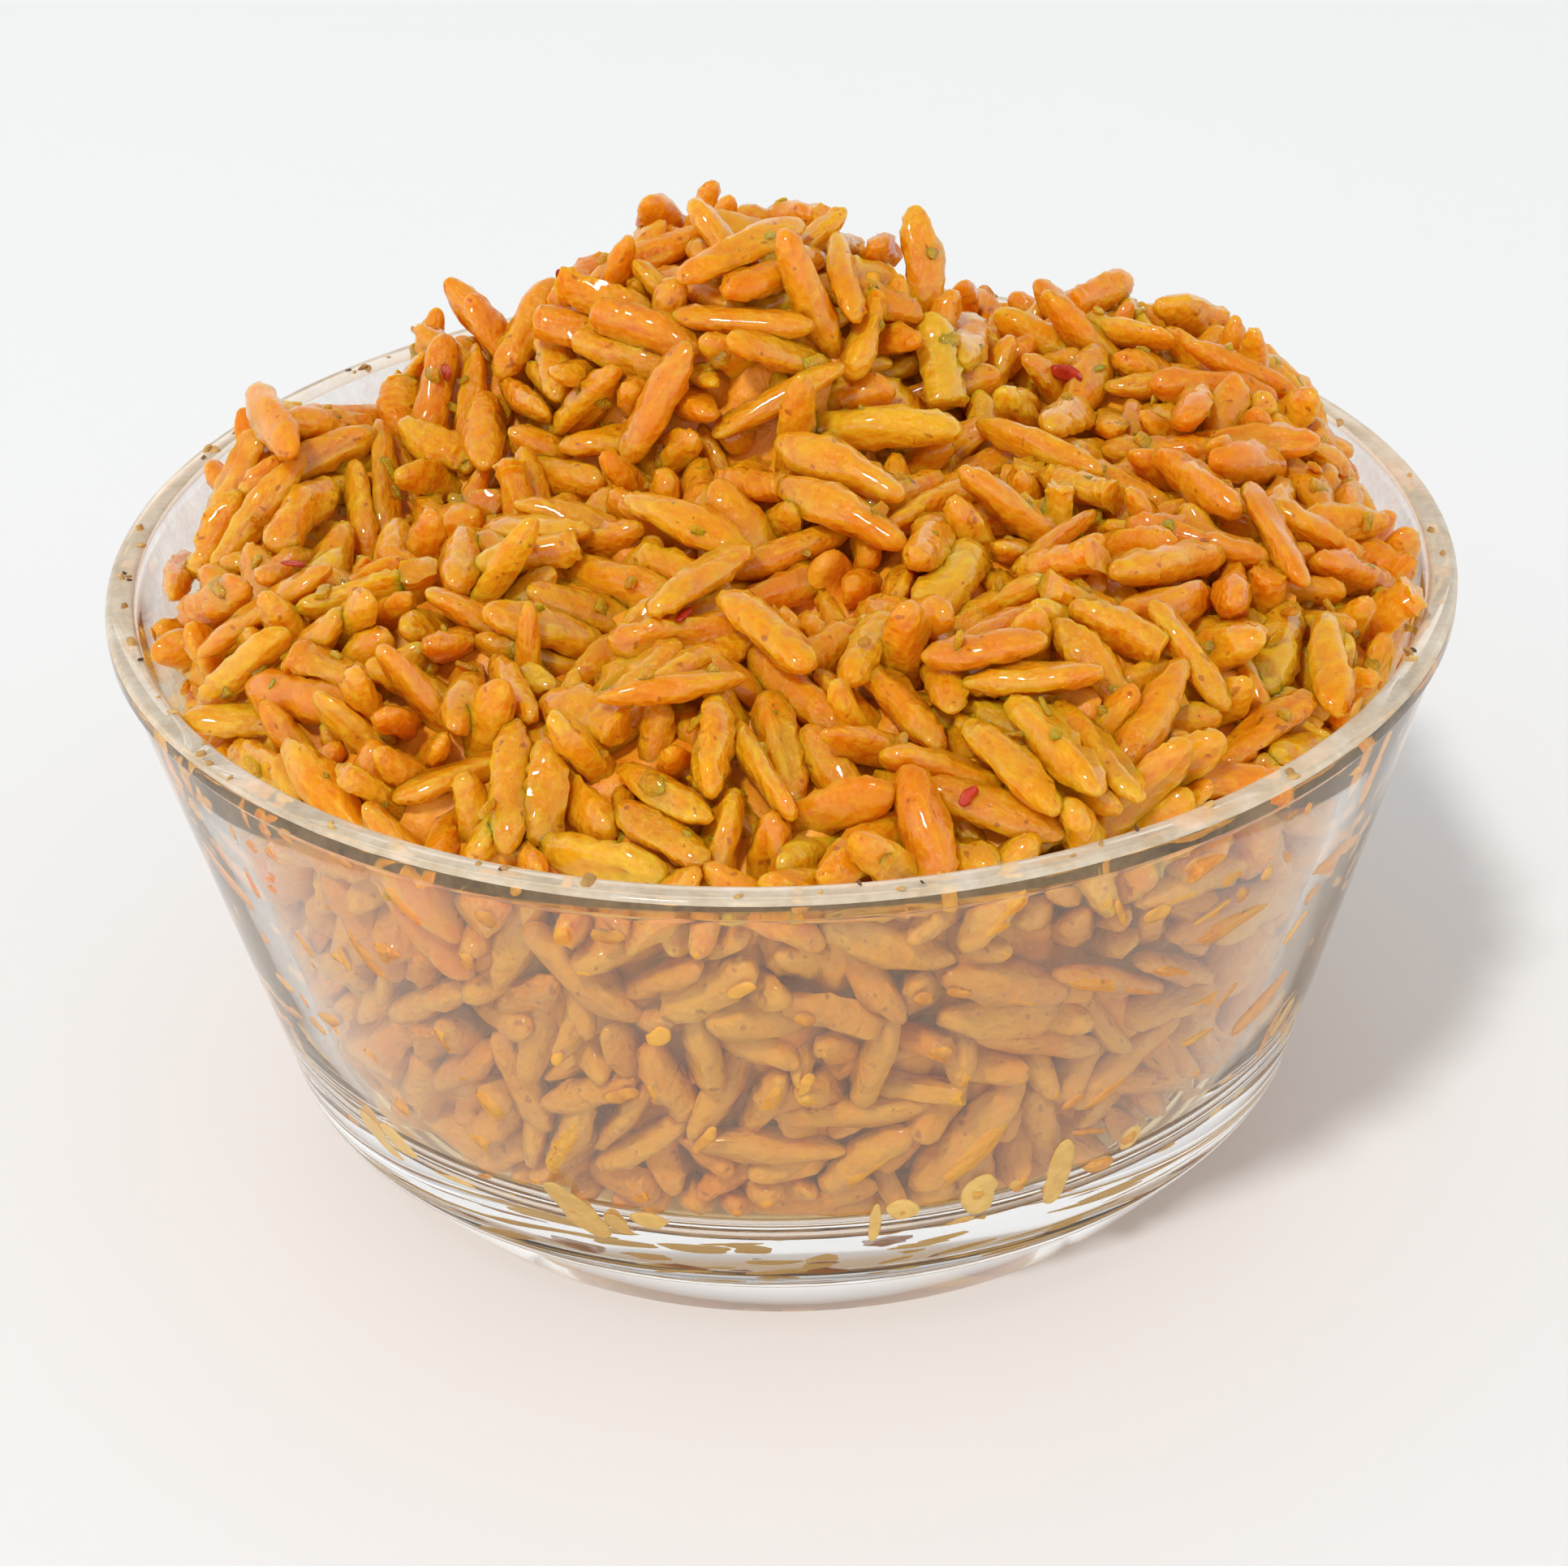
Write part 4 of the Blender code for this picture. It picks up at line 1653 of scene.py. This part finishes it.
@dataclass
class Trimmings:
    """Crumbs, flakes and wet marks: what clings to the grains and to the glass. Millimetres."""

    shape: BowlShape
    scatter: Scatter
    outline: HeapOutline
    variants: int = 10
    sink: float = 0.11
    touch: float = 1.6
    wall_share: float = 0.28
    floor_share: float = 0.6
    radial_share: float = 0.5
    wall_mark: tuple[float, float] = (3.6, 1.3)
    floor_mark: tuple[float, float] = (9.0, 2.6)
    mark_thickness: float = 0.36
    crumb_depth: float = 3.0
    seed: int = 23
    crumbs: int = 520
    dark_specks: int = 12
    lip_crumbs: int = 64
    flake_spots: tuple[tuple[float, float], ...] = (
        (-22.5, 10.5),
        (-14.0, 11.5),
        (20.0, 10.0),
        (-6.0, -22.0),
        (10.5, -37.0),
        (-31.0, -12.0),
        (28.0, -20.0),
    )

    def build(self, grains: SettledGrains) -> None:
        """Builds and hands over every trimming.

        Args:
            grains: The settled grains.
        """
        rng = np.random.default_rng(self.seed)
        blobs = [self._blob(number).build(f"blob_{number:02d}", 7, 11) for number in range(self.variants)]
        broken = [GrainShape.draw(GrainKind.BROKEN, 700 + number) for number in range(self.variants)]
        bits = [shape.build(f"bit_{number:02d}", 5, 7) for number, shape in enumerate(broken)]
        oil = SmearFinish("wet_mark", (0.86, 0.42, 0.03, 1), (0.60, 0.22, 0.02, 1))
        # The paste glows. This is painted light in place of the light that the glass base carries to it from
        # the side.
        paste = SmearFinish("rice_paste_painted_glow", (0.58, 0.36, 0.08, 1), (0.46, 0.25, 0.04, 1), 0.45, 0.45)
        crumb = SmearFinish("dried_crumb", (0.72, 0.46, 0.15, 1), (0.42, 0.22, 0.06, 1), 0.5)
        pepper = SmearFinish("pepper_skin", (0.62, 0.045, 0.010, 1), (0.34, 0.015, 0.006, 1), 0.2)
        spice = SmearFinish("spice_speck", (0.20, 0.09, 0.04, 1), (0.05, 0.025, 0.015, 1), 0.6)
        rice = RiceFinish("jollof_crumb").make()
        wall, floor = self._marks(rng, grains)
        pieces = (
            ("wall_marks", wall, blobs, oil.make()),
            ("floor_marks", floor, blobs, paste.make()),
            ("rice_crumbs", self._crumbs(rng, grains), bits, rice),
            ("pepper_flakes", self._flakes(rng), blobs, pepper.make()),
            ("lip_specks", self._lip(rng, self.dark_specks, 0.5), bits, spice.make()),
            ("lip_crumbs", self._lip(rng, self.lip_crumbs, 0.8), bits, crumb.make()),
        )
        for name, places, stock, finish in pieces:
            hand_over(self.scatter.join(name, places, stock, finish), Slot.RICE)

    @staticmethod
    def _blob(number: int) -> GrainShape:
        """A rounded, uneven pat."""
        return GrainShape(
            kind=GrainKind.WHOLE,
            head=2.4,
            tail=3.2,
            flat=1.0,
            bow=0.0,
            crease=0.04,
            crease_width=0.5,
            lumps=0.18,
            fray=0.05,
            cut=0.0,
            seed=500 + number,
        )

    def _places(
        self,
        rng: np.random.Generator,
        centres: np.ndarray,
        along: np.ndarray,
        up: np.ndarray,
        sizes: np.ndarray,
    ) -> Places:
        """Places in metres from places and sizes in millimetres.

        Args:
            rng: The trimmings' random numbers.
            centres: N x 3 places.
            along: N x 3 directions of their lengths.
            up: N x 3 directions that they face.
            sizes: N x 3 lengths, widths and thicknesses.

        Returns:
            The places, with random variants and tints.
        """
        along = along / (np.linalg.norm(along, axis=1, keepdims=True) + 1e-9)
        count = len(centres)
        variants = rng.integers(0, self.variants, count)
        tints = rng.uniform(0.25, 0.75, count)
        seeds = rng.random(count)
        return Places(centres * MM, turns_from_axes(along, up), sizes * MM, variants, tints, seeds)

    def _marks(self, rng: np.random.Generator, grains: SettledGrains) -> tuple[Places, Places]:
        """Wet marks where grains touch the glass.

        Args:
            rng: The trimmings' random numbers.
            grains: The settled grains.

        Returns:
            The marks on the wall and those on the floor.
        """
        nearest = grains.clear.argmin(axis=1)
        rows = np.arange(len(nearest))
        balls = grains.balls[rows, nearest]
        touching = grains.clear[rows, nearest] < self.touch
        ends = grains.balls[:, -1] - grains.balls[:, 0]
        balls, ends = balls[touching], ends[touching]
        depth, away = self.shape.depth_mm(balls)
        ends = ends - away * np.sum(ends * away, axis=1, keepdims=True)
        spots = balls - away * (depth - 0.15 + self.sink)[:, None]
        low = balls[:, 2] < (self.shape.floor_height + self.shape.floor_corner) / MM
        chance = rng.random(len(balls))
        on_wall = ~low & (chance < self.wall_share)
        on_floor = low & (chance < self.floor_share)
        outward = balls * (1.0, 1.0, 0.0) / np.hypot(balls[:, :1], balls[:, 1:2]) + (0.0, 0.0, 1.0)
        outward = outward - away * np.sum(outward * away, axis=1, keepdims=True)
        ends = np.where((low & (rng.random(len(balls)) < self.radial_share))[:, None], outward, ends)
        made = []
        for mask, (longest, widest) in ((on_wall, self.wall_mark), (on_floor, self.floor_mark)):
            count = int(mask.sum())
            length = rng.uniform(0.9, longest, count) * rng.uniform(0.6, 1.0, count)
            width = np.minimum(length, rng.uniform(0.5, widest, count))
            sizes = np.stack([length, width, np.full(count, self.mark_thickness)], axis=1)
            made.append(self._places(rng, spots[mask], ends[mask], away[mask], sizes))
        return made[0], made[1]

    def _crumbs(self, rng: np.random.Generator, grains: SettledGrains) -> Places:
        """Small broken bits that stick to the top grains.

        Args:
            rng: The trimmings' random numbers.
            grains: The settled grains.

        Returns:
            Their places.
        """
        balls = grains.balls[:, 1:-1].reshape(-1, 3)
        near = grains.under[:, 1:-1].ravel() < self.crumb_depth
        balls = balls[near]
        balls = balls[rng.choice(len(balls), self.crumbs, replace=False)]
        _, down = self.outline.under_top(balls)
        side = rng.normal(size=balls.shape)
        side -= down * np.sum(side * down, axis=1, keepdims=True)
        side /= np.linalg.norm(side, axis=1, keepdims=True)
        tilt = rng.uniform(0.1, 1.0, (len(balls), 1))
        way = -down * (1 - tilt) + side * tilt
        way /= np.linalg.norm(way, axis=1, keepdims=True)
        spots = balls + way * rng.uniform(0.8, 1.12, (len(balls), 1))
        length = rng.uniform(0.8, 2.6, len(balls))
        width = np.minimum(length, rng.uniform(0.6, 1.4, len(balls)))
        sizes = np.stack([length, width, width * rng.uniform(0.5, 0.9, len(balls))], axis=1)
        return self._places(rng, spots, rng.normal(size=balls.shape), way, sizes)

    def _flakes(self, rng: np.random.Generator) -> Places:
        """Red pepper skin at a few places on the heap.

        Args:
            rng: The trimmings' random numbers.

        Returns:
            Their places.
        """
        spots = self.flake_spots
        centres = np.array([(x, y, self.outline.height_at(x, y) + 0.2) for x, y in spots])
        count = len(spots)
        along = rng.normal(size=(count, 3))
        length = rng.uniform(1.2, 3.2, count)
        width = rng.uniform(0.8, 1.6, count)
        sizes = np.stack([length, width, np.full(count, 0.4)], axis=1)
        return self._places(rng, centres, along, rng.normal(size=(count, 3)), sizes)

    def _lip(self, rng: np.random.Generator, count: int, largest: float) -> Places:
        """Bits that stick to the lip, some of them over its edges.

        Args:
            rng: The trimmings' random numbers.
            count: How many.
            largest: The width of the largest.

        Returns:
            Their places.
        """
        turn = rng.uniform(0, 2 * math.pi, count)
        middle = (self.shape.rim_radius - self.shape.lip_thickness / 2) / MM
        across = middle + rng.uniform(-0.75, 0.6, count)
        top = np.full(count, self.shape.height / MM + 0.03)
        centres = np.stack([across * np.cos(turn), across * np.sin(turn), top], axis=1)
        up = np.tile((0.0, 0.0, 1.0), (count, 1))
        size = rng.uniform(0.35 * largest, largest, count)
        sizes = np.stack([size * rng.uniform(1.1, 2.0, count), size, size * 0.5], axis=1)
        return self._places(rng, centres, rng.normal(size=centres.shape), up, sizes)


# ---------------------------------------------------------------- the room


@dataclass
class Studio:
    """A pale table, soft light from the upper left, and the camera."""

    shape: BowlShape
    pitch: float = 30.48
    roll: float = 1.75
    distance: float = 245.7 * MM
    lens: float = 83.85
    aim: tuple[float, float] = (-0.29 * MM, 16.1 * MM)
    low_sky: float = 1.18
    high_sky: float = 0.37
    sky_colour: tuple[float, ...] = (0.975, 0.99, 1.0, 1)
    lamp_place: tuple[float, ...] = (-0.46, -0.84, 1.50)
    lamp_width: float = 0.21
    lamp_power: float = 15.2
    lamp_colour: tuple[float, ...] = (1.0, 0.99, 0.975)
    table_radius: float = 3.0
    table_rings: int = 12
    table_sides: int = 96

    def build(self) -> None:
        """Sets the stage."""
        self.table()
        self.light()
        self.camera()

    def table(self) -> None:
        """A wide disc under the bowl."""
        sides, parts = self.table_sides, self.table_rings
        rings = [self.table_radius * (part / parts) ** 2 for part in range(1, parts + 1)]
        angles = [2 * math.pi * side / sides for side in range(sides)]
        points = [(0.0, 0.0, 0.0)]
        for size in rings:
            points += [(size * math.cos(angle), size * math.sin(angle), 0.0) for angle in angles]
        faces = [tuple(reversed(face)) for face in grid_faces(len(rings), sides, 1)]
        faces += [(0, 1 + n, 1 + (n + 1) % sides) for n in range(sides)]
        mesh = bpy.data.meshes.new("table")
        mesh.from_pydata(points, [], faces)
        mesh.materials.append(TableFinish().make())
        new_piece("table", mesh)

    def light(self) -> None:
        """An even sky and one large soft lamp."""
        world = bpy.data.worlds.new("soft_room")
        bpy.context.scene.world = world
        world.use_nodes = True
        bench = Bench(world.node_tree)
        way = bench.node("ShaderNodeTexCoord", output="Generated")
        height = bench.node("ShaderNodeSeparateXYZ", None, {0: way}, 2)
        strength = self.low_sky - height.step(0.3, 0.85) * (self.low_sky - self.high_sky)
        sky = bench.node("ShaderNodeBackground", None, {"Color": self.sky_colour, "Strength": strength})
        bench.finish(sky, "ShaderNodeOutputWorld")
        lamp = bpy.data.lights.new("key", "AREA")
        lamp.shape = "DISK"
        lamp.size = self.lamp_width
        lamp.energy = self.lamp_power
        lamp.color = self.lamp_colour
        holder = bpy.data.objects.new("key", lamp)
        holder.location = self.lamp_place
        aim = Vector((0.0, 0.0, 0.03)) - holder.location
        holder.rotation_euler = aim.to_track_quat("-Z", "Y").to_euler()
        bpy.context.scene.collection.objects.link(holder)

    def camera(self) -> None:
        """The camera, a little above and in front."""
        pitch, roll = math.radians(self.pitch), math.radians(self.roll)
        right = Vector((1, 0, 0))
        up = Vector((0, math.sin(pitch), math.cos(pitch)))
        ahead = Vector((0, math.cos(pitch), -math.sin(pitch)))
        across = right * math.cos(roll) - up * math.sin(roll)
        above = right * math.sin(roll) + up * math.cos(roll)
        rim = Vector((0, 0, self.shape.height))
        place = rim - across * self.aim[0] - above * self.aim[1] - ahead * self.distance
        data = bpy.data.cameras.new("camera")
        data.lens = self.lens
        data.sensor_width = 36.0
        data.clip_start = 10 * MM
        holder = bpy.data.objects.new("camera", data)
        columns = Matrix((across, above, -ahead)).transposed()
        holder.matrix_world = Matrix.Translation(place) @ columns.to_4x4()
        bpy.context.scene.collection.objects.link(holder)
        bpy.context.scene.camera = holder


def main() -> None:
    """Builds the bowl, the rice and the studio, in that order."""
    logging.basicConfig(level=logging.INFO, format="%(message)s", stream=sys.stdout)
    bpy.context.scene.view_settings.view_transform = "Standard"
    low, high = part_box("bowl")
    shape = BowlShape(rim_radius=(high[0] - low[0]) / 2, height=high[2] - low[2])
    bowl = GlassBowl(shape).build()
    hand_over(bowl, Slot.GLASS, "bowl")
    outline = HeapOutline(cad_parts["rice"], shape)
    scatter = Scatter()
    grains = RiceHeap(outline, scatter).build()
    Trimmings(shape, scatter, outline).build(grains)
    Studio(shape).build()


if __name__ == "__main__":
    main()
